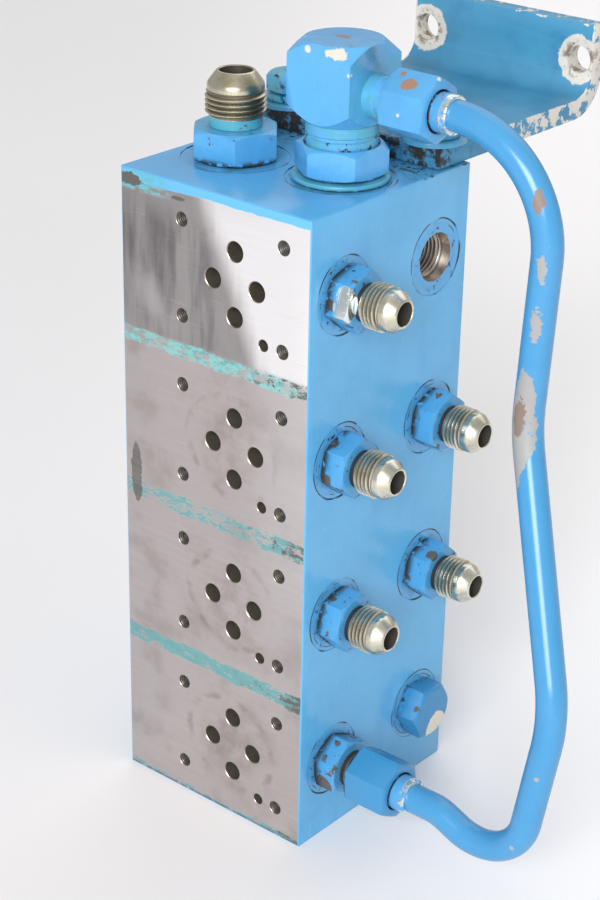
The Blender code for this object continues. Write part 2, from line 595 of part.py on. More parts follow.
def bracket_bolts():
    """Two hexagon bolts, each with a flat washer and a split lock washer."""
    flat, lock, wide = FLAT_WASHER, LOCK_WASHER, FLAT_WASHER_RADIUS
    under = BLOCK_HEIGHT + GAP + PLATE + GAP
    for side, name in ((-1, "left"), (1, "right")):
        place = Matrix.Translation((side * BOLT_AT[0], BOLT_AT[1], 0))
        hole = BOLT_RADIUS + GAP
        ring = [(wide, under + flat), (wide, under), (hole, under), (hole, under + flat)]
        turned(f"{name}_flat_washer", ring, PARTS, SIDES, BLUE, place)
        low, edge = under + flat + GAP, LOCK_WASHER_RADIUS
        ring = [(edge, low + lock), (edge, low), (hole, low), (hole, low + lock)]
        washer = turned(f"{name}_lock_washer", ring, PARTS, SIDES, BLUE)
        slit = box("slit", (0, -0.6 * MM, low - MM), (12 * MM, 0.6 * MM, low + lock + MM), CUTTERS)
        shaped(washer, cut=[slit])
        washer.matrix_world = place
        head, end = low + lock + GAP, BLOCK_HEIGHT - BOLT_REACH
        shank = [(0, head + MM), (BOLT_RADIUS, head + MM), (BOLT_RADIUS, end), (0, end)]
        bolt = turned(f"{name}_bolt", shank, PARTS, 14, BLUE)
        shaped(bolt, joined=[hexagon("bolt_hex", BOLT_HEX, head, head + BOLT_HEAD, CUTTERS, BOLT_TURN)])
        bolt.matrix_world = place
        smooth(bolt)


side_fittings()
top_straight()
elbow()
tube_and_nuts()
mounting_bracket()
bracket_bolts()
gallery_plug("tank_gallery_plug", TANK_GALLERY_AT)
gallery_plug("pressure_gallery_plug", ELBOW_AT)
manifold_block()
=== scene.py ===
# %% [markdown]
# # A hydraulic manifold with worn blue paint
#
# The object is a drilled steel block. Valves bolt onto its ground face, hoses screw onto the
# flared fittings at its side, and a bent steel tube joins its top to its lowest port. This lesson
# loads the plain working model, then replaces each visible piece with a finely made one and
# gives every surface its finish. All lengths are in metres; `MM` turns millimetres into metres.

# %% Load the working model
from math import cos, degrees, pi, radians, sin, sqrt, tan

import bmesh
import bpy
from mathutils import Matrix, Vector


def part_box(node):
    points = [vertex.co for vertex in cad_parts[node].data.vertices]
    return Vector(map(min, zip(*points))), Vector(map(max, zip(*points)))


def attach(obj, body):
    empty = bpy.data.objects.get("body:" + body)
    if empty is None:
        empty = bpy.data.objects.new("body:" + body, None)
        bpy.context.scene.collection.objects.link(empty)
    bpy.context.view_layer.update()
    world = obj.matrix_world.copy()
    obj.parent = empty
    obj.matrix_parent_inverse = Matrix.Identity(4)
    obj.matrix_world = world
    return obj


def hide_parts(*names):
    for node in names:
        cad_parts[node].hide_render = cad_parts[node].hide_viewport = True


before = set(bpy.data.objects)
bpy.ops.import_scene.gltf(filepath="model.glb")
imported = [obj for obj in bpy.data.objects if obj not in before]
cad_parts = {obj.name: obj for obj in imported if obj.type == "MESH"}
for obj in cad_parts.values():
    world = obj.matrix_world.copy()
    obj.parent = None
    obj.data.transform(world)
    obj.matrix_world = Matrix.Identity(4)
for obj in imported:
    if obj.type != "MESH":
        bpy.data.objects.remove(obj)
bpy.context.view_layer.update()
MM = 0.001

# %% [markdown]
# ## Places come from the working model
#
# A node's box gives its lowest and highest corner, so each new piece is put where its plain
# stand-in lies. The fittings at the side all point along +X, those on top along +Z.

# %% Places
TO_X = Matrix.Rotation(pi / 2, 4, "Y")  # turns a piece's own +Z to +X


def middle(node):
    low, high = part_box(node)
    return (Vector(low) + Vector(high)) / 2


def span(node, axis):
    """Where a node starts and ends along an axis: 0 is X, 2 is Z."""
    return [corner[axis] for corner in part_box(node)]


def above(node, height):
    """The place at a height on the upright line through a node's middle."""
    at = middle(node)
    return Matrix.Translation((at.x, at.y, height))


def beside(y, z, x=0.0):
    """The place of a piece whose own +Z points along +X."""
    return Matrix.Translation((x, y, z)) @ TO_X


BLOCK_LOW, BLOCK_HIGH = (Vector(corner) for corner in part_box("manifold_block"))
FACE = BLOCK_HIGH.x  # the side that carries the fittings
TOP = BLOCK_HIGH.z
STATIONS = 4
PITCH = TOP / STATIONS
STATION_HEIGHTS = [TOP - (number + 0.5) * PITCH for number in range(STATIONS)]
COLUMN = middle("rear_adapter_2").y  # half the distance between the two columns of ports
FACE_MM, TOP_MM, PITCH_MM = FACE / MM, TOP / MM, PITCH / MM
TOP_PORTS = ("top_adapter", "elbow_washer")
BOLTS = ("left_bolt", "right_bolt")
print("station pitch", round(PITCH / MM, 3), "mm, port columns at", round(COLUMN / MM, 2), "mm")

# %% [markdown]
# ## Working by hand, in code
#
# Each new piece is modelled with the same operators as the menus use: add a primitive, go into
# edit mode, select by place, extrude, inset, bevel, and come back. The helpers below keep those
# steps short. An operator acts on whatever is selected, so everything is deselected first.

# %% Object and edit mode helpers


def choose(*objects):
    """Selects just these objects and makes the first one active."""
    if bpy.context.mode != "OBJECT":
        bpy.ops.object.mode_set(mode="OBJECT")
    bpy.ops.object.select_all(action="DESELECT")
    for obj in objects:
        obj.select_set(True)
    bpy.context.view_layer.objects.active = objects[0]
    return objects[0]


def fresh():
    """Leaves nothing selected, so that a new primitive stands alone."""
    if bpy.context.mode != "OBJECT":
        bpy.ops.object.mode_set(mode="OBJECT")
    bpy.ops.object.select_all(action="DESELECT")


def named(name):
    obj = bpy.context.object
    obj.name = name
    obj.data.name = name
    return obj


def edit(obj):
    choose(obj)
    bpy.ops.object.mode_set(mode="EDIT")


def leave():
    bpy.ops.object.mode_set(mode="OBJECT")


def pick(kind, test):
    """In edit mode, selects the faces or edges whose middle passes the test."""
    bpy.ops.mesh.select_mode(type=kind)
    bpy.ops.mesh.select_all(action="DESELECT")
    mesh = bpy.context.edit_object.data
    body = bmesh.from_edit_mesh(mesh)
    if kind == "FACE":
        passed = [face for face in body.faces if test(face.calc_center_median(), face.normal)]
    else:
        passed = [edge for edge in body.edges if test((edge.verts[0].co + edge.verts[1].co) / 2, edge)]
    for element in passed:
        element.select_set(True)
    bmesh.update_edit_mesh(mesh)


def tidy_mesh():
    """In edit mode, merges the selected points that coincide and turns every face outwards."""
    bpy.ops.mesh.remove_doubles(threshold=0.001 * MM)
    bpy.ops.mesh.normals_make_consistent(inside=False)


def modify(obj, kind, **settings):
    """Adds a modifier with these settings and applies it."""
    choose(obj)
    bpy.ops.object.modifier_add(type=kind)
    modifier = obj.modifiers[-1]
    for key, value in settings.items():
        setattr(modifier, key, value)
    bpy.ops.object.modifier_apply(modifier=modifier.name)
    return obj


def combine(obj, other, operation):
    """Cuts or intersects two closed meshes; the second one is used up."""
    modify(obj, "BOOLEAN", operation=operation, object=other, solver="EXACT", use_self=True)
    bpy.data.objects.remove(other)
    return obj


def soften(obj, width, angle=30, segments=2):
    """A fine rounded bevel on every edge sharper than the angle, then smooth shading."""
    modify(obj, "BEVEL", width=width, segments=segments, limit_method="ANGLE",
           angle_limit=radians(angle), harden_normals=False, use_clamp_overlap=True)
    return smooth(obj, angle)


def smooth(obj, angle=30):
    choose(obj)
    bpy.ops.object.shade_smooth_by_angle(angle=radians(angle))
    return obj


def join(obj, *others):
    choose(obj, *others)
    bpy.ops.object.join()
    return obj


def put(obj, place):
    """Moves a finished piece to its place, and leaves its object at the origin, unturned."""
    obj.matrix_world = place
    choose(obj)
    bpy.ops.object.transform_apply(location=True, rotation=True, scale=True)
    return obj


def box(name, centre, size, turn=(0, 0, 0)):
    fresh()
    bpy.ops.mesh.primitive_cube_add(size=1, location=centre, rotation=turn)
    obj = named(name)
    obj.dimensions = size
    choose(obj)
    bpy.ops.object.transform_apply(location=True, rotation=True, scale=True)
    return obj


def coat(obj, *finishes):
    """Gives a piece these finishes and no others."""
    obj.data.materials.clear()
    for finish in finishes:
        obj.data.materials.append(finish)
    return obj


def stand_in(obj, node, body="manifold"):
    """Puts a finished piece in the place of its plain node."""
    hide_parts(node)
    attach(obj, body)


# %% [markdown]
# ## Turned pieces
#
# A fitting is turned on a lathe, so its mesh is a circle that is pulled along its axis and
# widened or narrowed at each step, as a person would with extrude and scale. An outline of
# (radius, height) points says where each step ends. An outline that comes back to its first
# point makes a ring; one that ends at radius 0 is closed by merging the last loop.

# %% Lathe


def lathe(name, outline, sides=64):
    """A circle extruded and scaled through an outline of (radius, height) points."""
    fresh()
    (radius, height), *rest = outline
    tiny = 0.01 * MM
    bpy.ops.mesh.primitive_circle_add(vertices=sides, radius=max(radius, tiny), location=(0, 0, height))
    obj = named(name)
    choose(obj)
    bpy.ops.object.transform_apply(location=True)
    edit(obj)
    bpy.ops.mesh.select_all(action="SELECT")
    if radius < tiny:
        bpy.ops.mesh.edge_face_add()
        bpy.ops.mesh.select_all(action="SELECT")
        bpy.ops.mesh.poke()
        pick("EDGE", lambda point, edge: edge.is_boundary)
    for next_radius, next_height in rest:
        grow = max(next_radius, tiny) / max(radius, tiny)
        bpy.ops.mesh.extrude_edges_move(TRANSFORM_OT_translate={"value": (0, 0, next_height - height)})
        bpy.ops.transform.resize(value=(grow, grow, 1))
        radius, height = next_radius, next_height
    if radius < tiny:
        bpy.ops.mesh.edge_face_add()
    bpy.ops.mesh.select_all(action="SELECT")
    bpy.ops.mesh.remove_doubles(threshold=0.02 * MM if radius < tiny else 0.001 * MM)
    bpy.ops.mesh.normals_make_consistent(inside=False)
    leave()
    return obj


def outline_at(start, points):
    """(radius, height) points in millimetres, in metres above a start."""
    return [(radius * MM, start + height * MM) for radius, height in points]


def ring_outline(inner, outer, low, high):
    """A square ring between two heights, its radii in millimetres."""
    return outline_at(low, [(inner, 0), (outer, 0)]) + outline_at(high, [(outer, 0), (inner, 0)]) + outline_at(
        low, [(inner, 0)])


def rounded(outline, corner, reach, steps=3):
    """The outline with the corner of that number rounded over a reach on both sides."""
    before, here, after = (Vector(outline[corner + step]) for step in (-1, 0, 1))
    start = here + (before - here).normalized() * reach
    end = here + (after - here).normalized() * reach
    curve = [start.lerp(here, t).lerp(here.lerp(end, t), t) for t in (k / steps for k in range(steps + 1))]
    return outline[:corner] + [tuple(point) for point in curve] + outline[corner + 1:]


# %% [markdown]
# ## Hexagons
#
# A hexagon for a spanner is cut from bar, and its corners are turned off at 30 degrees so that
# they don't bite the hand. So a six-sided cylinder is intersected with a turned blank whose ends
# slope, which leaves the curved arcs that real hexagons have.

# %% Hexagon bar


def hexagon(name, across_flats, low, high, turn, ends, slope=30):
    """A hexagonal prism along Z, turned by degrees. ends are the flat circles' radii at the low and
    high end, as shares of half the width across flats; a share of 2 leaves the end square."""
    fresh()
    corner = across_flats / sqrt(3)
    bpy.ops.mesh.primitive_cylinder_add(vertices=6, radius=corner, depth=high - low,
                                        location=(0, 0, (low + high) / 2), rotation=(0, 0, radians(turn)))
    bar = named(name)
    choose(bar)
    bpy.ops.object.transform_apply(location=True, rotation=True)
    wide = corner * 1.2
    flat_low, flat_high = (min(share * across_flats / 2, wide) for share in ends)
    drop_low, drop_high = ((wide - flat) * tan(radians(slope)) for flat in (flat_low, flat_high))
    blank = lathe("blank", [(0, low), (flat_low, low), (wide, low + drop_low), (wide, high - drop_high),
                            (flat_high, high), (0, high)], 96)
    return combine(bar, blank, "INTERSECT")


# %% [markdown]
# ## Screw threads
#
# A thread is one tooth that winds round a core. The tooth starts as a small flat quadrilateral
# and the Screw modifier sweeps it up a helix. Both ends are trimmed by a cone, as the die and the
# lathe leave them, by pulling in every point that reaches past it.

# %% Thread


def thread(name, crest, root, pitch, low, high, steps=48, lead=0.6):
    """A helical ridge between two heights, all in millimetres. For a tapped hole the crest is
    inside the root."""
    crest, root, pitch, low, high = (length * MM for length in (crest, root, pitch, low, high))
    fresh()
    outwards = 1 if crest > root else -1
    bpy.ops.mesh.primitive_plane_add(size=1)
    ridge = named(name)
    flat, base = pitch * 0.09, pitch * 0.47
    sunk = root - outwards * 0.12 * MM
    shape = [(sunk, -base), (crest, -flat), (sunk, base), (crest, flat)]
    for vertex, (radius, height) in zip(ridge.data.vertices, shape):
        vertex.co = (radius, 0, low + height)
    turns = (high - low) / pitch
    modify(ridge, "SCREW", axis="Z", angle=2 * pi * turns, screw_offset=high - low,
           steps=round(steps * turns), render_steps=round(steps * turns), use_merge_vertices=False)
    edit(ridge)
    bpy.ops.mesh.select_all(action="SELECT")
    bpy.ops.mesh.fill_holes(sides=4)
    bpy.ops.mesh.normals_make_consistent(inside=False)
    leave()
    slope = abs(crest - root) / (lead * pitch)
    for vertex in ridge.data.vertices:
        radius = Vector((vertex.co.x, vertex.co.y)).length
        height = min(max(vertex.co.z, low), high)
        room = max(min(height - low, high - height), 0) * slope
        limit = root + outwards * (room - 0.05 * MM)
        wanted = min(radius, limit) if outwards > 0 else max(radius, limit)
        vertex.co.x *= wanted / radius
        vertex.co.y *= wanted / radius
        vertex.co.z = height
    return ridge


# %% [markdown]
# ## Writing materials as sums
#
# A node tree reads more easily as arithmetic. `Link` wraps one socket, and adding or multiplying
# two of them adds a Math node. `Finish` holds one material; its `node` method makes any other
# node from its type, its settings and the values of its sockets.

# %% Shader arithmetic


class Link:
    """A number, colour or vector that comes out of a node."""

    def __init__(self, finish, socket):
        self.finish, self.socket = finish, socket

    def sum(self, operation, *others):
        return self.finish.node("Math", {"operation": operation}, *others)

    def __add__(self, other):
        return self.sum("ADD", self, other)

    def __sub__(self, other):
        return self.sum("SUBTRACT", self, other)

    def __rsub__(self, other):
        return self.sum("SUBTRACT", other, self)

    def __mul__(self, other):
        return self.sum("MULTIPLY", self, other)

    def __truediv__(self, other):
        return self.sum("DIVIDE", self, other)

    __radd__ = __add__
    __rmul__ = __mul__

    def least(self, other):
        return self.sum("MINIMUM", self, other)

    def most(self, other):
        return self.sum("MAXIMUM", self, other)

    def size(self):
        return self.sum("ABSOLUTE", self)

    def fade(self, start, end):
        """0 where this is start or less, 1 where it is end or more, and smooth between.
        With start above end it falls instead of rising."""
        if start > end:
            return 1 - self.fade(end, start)
        return self.finish.node("MapRange", {"interpolation_type": "SMOOTHSTEP"}, self, start, end)


class Finish:
    """One material, with its places in millimetres ready to use."""

    def __init__(self, name):
        self.material = bpy.data.materials.new(name)
        self.material.use_nodes = True
        self.tree = self.material.node_tree
        self.shader = self.tree.nodes["Principled BSDF"]
        place = self.node("TexCoord", output="Object")
        self.place = self.node("VectorMath", {"operation": "SCALE"}, place, Scale=1000)
        self.x, self.y, self.z = (self.node("SeparateXYZ", {}, self.place, output=axis) for axis in "XYZ")

    def node(self, kind, settings=None, *values, output=0, **by_name):
        """Any shader node: settings first, then its sockets in order or by name."""
        made = self.tree.nodes.new("ShaderNode" + kind)
        for key, value in (settings or {}).items():
            setattr(made, key, value)
        sockets = [(made.inputs[number], value) for number, value in enumerate(values)]
        sockets += [(made.inputs[key.replace("_", " ")], value) for key, value in by_name.items()]
        for socket, value in sockets:
            if isinstance(value, Link):
                self.tree.links.new(value.socket, socket)
            elif value is not None:
                socket.default_value = value
        return Link(self, made.outputs[output])

    def shift(self, offset=(0, 0, 0), stretch=(1, 1, 1)):
        """The place, moved and stretched: a stretch above 1 makes a pattern finer that way."""
        moved = self.node("VectorMath", {"operation": "ADD"}, self.place, offset)
        return self.node("VectorMath", {"operation": "MULTIPLY"}, moved, stretch)

    def noise(self, size, detail=3.0, rough=0.55, offset=(0, 0, 0), stretch=(1, 1, 1), warp=0.0):
        """Cloudy noise from 0 to 1, its lumps about that many millimetres wide."""
        return self.node("TexNoise", {}, self.shift(offset, stretch), Scale=1 / size, Detail=detail,
                         Roughness=rough, Distortion=warp)

    def mix(self, first, second, share):
        """One colour turning into another as the share goes from 0 to 1."""
        made = self.tree.nodes.new("ShaderNodeMix")
        made.data_type = "RGBA"
        for number, value in ((0, share), (6, first), (7, second)):
            if isinstance(value, Link):
                self.tree.links.new(value.socket, made.inputs[number])
            else:
                made.inputs[number].default_value = (*value, 1) if number else value
        return Link(self, made.outputs[2])

    def distance(self, *parts):
        """The length of a vector from its parts, as numbers that come out of nodes."""
        total = parts[0] * parts[0]
        for part in parts[1:]:
            total = total + part * part
        return total.sum("SQRT", total)

    def bump(self, height, strength, depth):
        return self.node("Bump", {}, Strength=strength, Distance=depth * MM, Height=height)

    def end(self, colour=None, rough=None, metal=None, normal=None, **fixed):
        """Joins the finished values to the shader. Numbers go straight on its own sockets."""
        wanted = {"Base Color": colour, "Roughness": rough, "Metallic": metal, "Normal": normal}
        wanted.update({key.replace("_", " "): value for key, value in fixed.items()})
        for key, value in wanted.items():
            if isinstance(value, Link):
                self.tree.links.new(value.socket, self.shader.inputs[key])
            elif value is not None:
                if key == "Base Color":
                    value = (*value, 1)
                self.shader.inputs[key].default_value = value
        return self.material


# %% [markdown]
# ## The blue paint
#
# The whole assembly was sprayed after it was put together, with a glossy azure enamel. Thick
# paint is even and bright; where it went on thin, or in corners, it goes to teal over dark metal.
# Knocks took it off to a cream primer, to rust or to dark steel. Every painted piece uses the same
# function, with its own seed, its own grime, its own chips and its own share of painted shade.

# %% Paint colours
AZURE = (0.108, 0.39, 0.71)
DEEP_AZURE = (0.065, 0.30, 0.60)
# The darkest blue is painted shade, laid over pieces that lie in shadow.
SHADED_AZURE = (0.034, 0.215, 0.43)
TEAL = (0.07, 0.33, 0.44)
GRIME = (0.018, 0.016, 0.015)
PRIMER = (0.62, 0.575, 0.49)
RUST = (0.29, 0.125, 0.06)
DARK_STEEL = (0.09, 0.085, 0.08)


def azure(finish, seed=0.0):
    """The sound paint: its colour with soft clouds, and its roughness with a few dull spots."""
    clouds = finish.noise(26, 2, 0.5, (seed, seed, 0))
    fine = finish.noise(5, 3, 0.6, (0, seed, seed))
    colour = finish.mix(AZURE, DEEP_AZURE, (clouds * 0.8 + fine * 0.5).fade(0.5, 1.05))
    scuffs = finish.noise(1.4, 4, 0.75, (seed, 0, 0), (1, 1, 0.25))
    rough = 0.2 + scuffs.fade(0.6, 0.85) * 0.22 + clouds * 0.08
    return colour, rough


def orange_peel(finish, chips=None, strength=0.35):
    """The faint ripple of sprayed enamel, with chips sunk below it."""
    ripple = finish.noise(1.1, 2, 0.5) * 0.35 + finish.noise(7, 1, 0.4) * 0.65
    height = ripple if chips is None else ripple * 0.25 + (1 - chips)
    return finish.bump(height, strength, 0.12)


def painted(name, seed, grime, teal=None, chips=(), bare=None, painted_shade=0.3):
    """A painted piece. grime and teal are functions of the finish that give a share from 0 to 1.
    chips are (colour, function of the finish) pairs, laid on in turn. bare is plated metal.
    The last argument says how far the paint is darkened, as painted shade, for pieces that lie in shadow."""
    finish = Finish(name)
    colour, rough = azure(finish, seed)
    # Painted shade: the paint is darkened by a share, so that pieces lying in shadow come out darker.
    colour = finish.mix(colour, SHADED_AZURE, painted_shade)
    metal = finish.x * 0
    if teal:
        thin = teal(finish)
        colour = finish.mix(colour, TEAL, thin)
        rough = rough + thin * 0.1
    worn = finish.x * 0
    for shade, where in chips:
        share = where(finish)
        colour = finish.mix(colour, shade, share)
        rough = rough + share * 0.3
        worn = worn.most(share)
    dirt = grime(finish)
    colour = finish.mix(colour, GRIME, dirt)
    rough = rough + dirt * 0.35
    if bare:
        share = bare(finish)
        colour = finish.mix(colour, (0.74, 0.80, 0.80), share)
        metal = share
    return finish.end(colour, rough, metal, orange_peel(finish, worn.most(dirt * 0.5)),
                      Coat_Weight=0.0, Specular_IOR_Level=0.5)


def specks(size, low, high, seed=0.0, stretch=(1, 1, 1)):
    """Ragged spots of about that size where cloudy noise passes from low to high."""
    return lambda finish: finish.noise(size, 4, 0.65, (seed, -seed, seed), stretch).fade(low, high)


def both(*tests):
    """The product of several shares."""
    def product(finish):
        share = tests[0](finish)
        for test in tests[1:]:
            share = share * test(finish)
        return share
    return product


def either(*tests):
    """The largest of several shares."""
    def largest(finish):
        share = tests[0](finish)
        for test in tests[1:]:
            share = share.most(test(finish))
        return share
    return largest


def along(axis, start, end):
    """A share that goes from 0 to 1 between two places on an axis, in millimetres."""
    return lambda finish: getattr(finish, axis).fade(start, end)


def spot(centre, radius, ragged=2.0, seed=0.0, size=3.0, squash=(1, 1, 1)):
    """A ragged patch round a point, in millimetres. squash flattens it along an axis."""
    def share(finish):
        parts = [(getattr(finish, axis) - at) * flat for axis, at, flat in zip("xyz", centre, squash)]
        edge = finish.distance(*parts) + (finish.noise(size, 4, 0.7, (seed, seed, 0)) - 0.5) * ragged * 2
        return edge.fade(radius + 0.15, radius - 0.15)
    return share


# %% [markdown]
# ## The side face and the top
#
# Before a fitting goes in, a cutter makes a flat round seat in the block. The cutter's rim leaves
# a scored ring, and paint, oil and grit settle in it. The eight ports at the side repeat at every
# station in two columns, so one distance that repeats with them draws all eight rings.

# %% Block paint


def scored_ring(finish, distance, radius, seed):
    """A thin dark line at a radius, with gaps, and a stain just inside it."""
    wobble = finish.noise(9, 2, 0.5, (seed, 0, seed))
    line = (distance - radius - (wobble - 0.5) * 0.8).size().fade(0.34, 0.1) * wobble.fade(0.42, 0.56)
    gaps = finish.noise(7, 2, 0.5, (0, seed, 0)).fade(0.5, 0.6)
    return line.most((distance - radius + 1.5).size().fade(0.22, 0.06) * gaps)


def from_port(finish):
    """The distance from the axis of the nearest side port; it repeats with the ports."""
    up = finish.z.sum("PINGPONG", finish.z, PITCH_MM / 2)
    return finish.distance(finish.y.size() - COLUMN / MM, PITCH_MM / 2 - up)


def block_paint():
    finish = Finish("block_blue_paint")
    colour, rough = azure(finish, 3.0)
    colour = finish.mix(colour, (0.115, 0.385, 0.60), 0.5)
    side = from_port(finish)
    side_face = finish.x.fade(FACE_MM - 0.6, FACE_MM - 0.3)
    top_face = finish.z.fade(TOP_MM - 0.6, TOP_MM - 0.3)
    rings = scored_ring(finish, side, 12.35, 2.0) * side_face
    for number, node in enumerate(TOP_PORTS):
        centre = middle(node) / MM
        ring = finish.distance(finish.x - centre.x, finish.y - centre.y)
        stain = ring.fade(18.5, 14.5) * finish.noise(5, 3, 0.6, (number, 0, 0)).fade(0.42, 0.62)
        rings = rings.most(scored_ring(finish, ring, 17.2, 5.0 + number) * top_face)
        colour = finish.mix(colour, TEAL, stain * top_face * 0.7)
    rear = top_face * finish.y.fade(6, 22)
    colour = finish.mix(colour, TEAL, rear * finish.noise(8, 3, 0.6).fade(0.35, 0.6) * 0.8)
    # Painted shade: the top face is painted a darker blue than the sides.
    colour = finish.mix(colour, DEEP_AZURE, top_face * 0.45)
    near_hex = side.fade(13.0, 9.6) * side_face
    spots = finish.noise(2.1, 4, 0.7, (7, 0, 0))
    dirt = rings.most(near_hex * spots.fade(0.56, 0.66))
    dirt = dirt.most(rear * spots.fade(0.5, 0.62))
    dirt = dirt.most(finish.noise(0.9, 3, 0.8, (0, 4, 0)).fade(0.735, 0.765) * 0.8)
    edge = finish.x.fade(FACE_MM - 1.0, FACE_MM - 0.1) * finish.y.fade(-37.0, -37.9)
    dirt = dirt.most(edge * finish.noise(5.0, 4, 0.7, (0, 0, 9)).fade(0.66, 0.7) * 0.7)
    streaks = finish.noise(16, 3, 0.6, (0, 0, 2), (1, 1, 0.35))
    # Painted shade: the side face is painted darker round the foot of each fitting. The streaks are a darker
    # tone at random.
    colour = finish.mix(colour, (0.045, 0.235, 0.56), near_hex * 0.35 + streaks.fade(0.5, 0.75) * 0.25)
    colour = finish.mix(colour, GRIME, dirt)
    return finish.end(colour, rough + dirt * 0.3, 0.0, orange_peel(finish, dirt, 0.3))


# %% [markdown]
# ## The ground valve face
#
# Valves seal on this face, so it was ground flat and left bare: very fine lines run across it.
# Handling left soft grey smears, the seals left faint oval stains round the ports, and thin blue
# paint stayed in bands where one valve's foot ends and the next begins. A painted reflection
# lightens the right of the top station, and more faintly the right of the stations below, and the
# top station's upper left is painted darker: a smear with streaks, and painted shade together.

# %% Valve face metal


def teal_band(finish, height, thick, wear, seed):
    """A strip of worn paint at a height, its edges ragged, with holes worn through it."""
    edge = (finish.noise(9, 5, 0.7, (seed, 0, 0), (1, 1, 1.6)) - 0.5) * 5.0
    inside = (finish.z - height + edge).size().fade(thick + 0.5, thick - 0.4)
    left = finish.noise(4, 5, 0.75, (0, seed, seed), (0.7, 1, 2.0)).fade(wear - 0.05, wear + 0.05)
    return inside * left


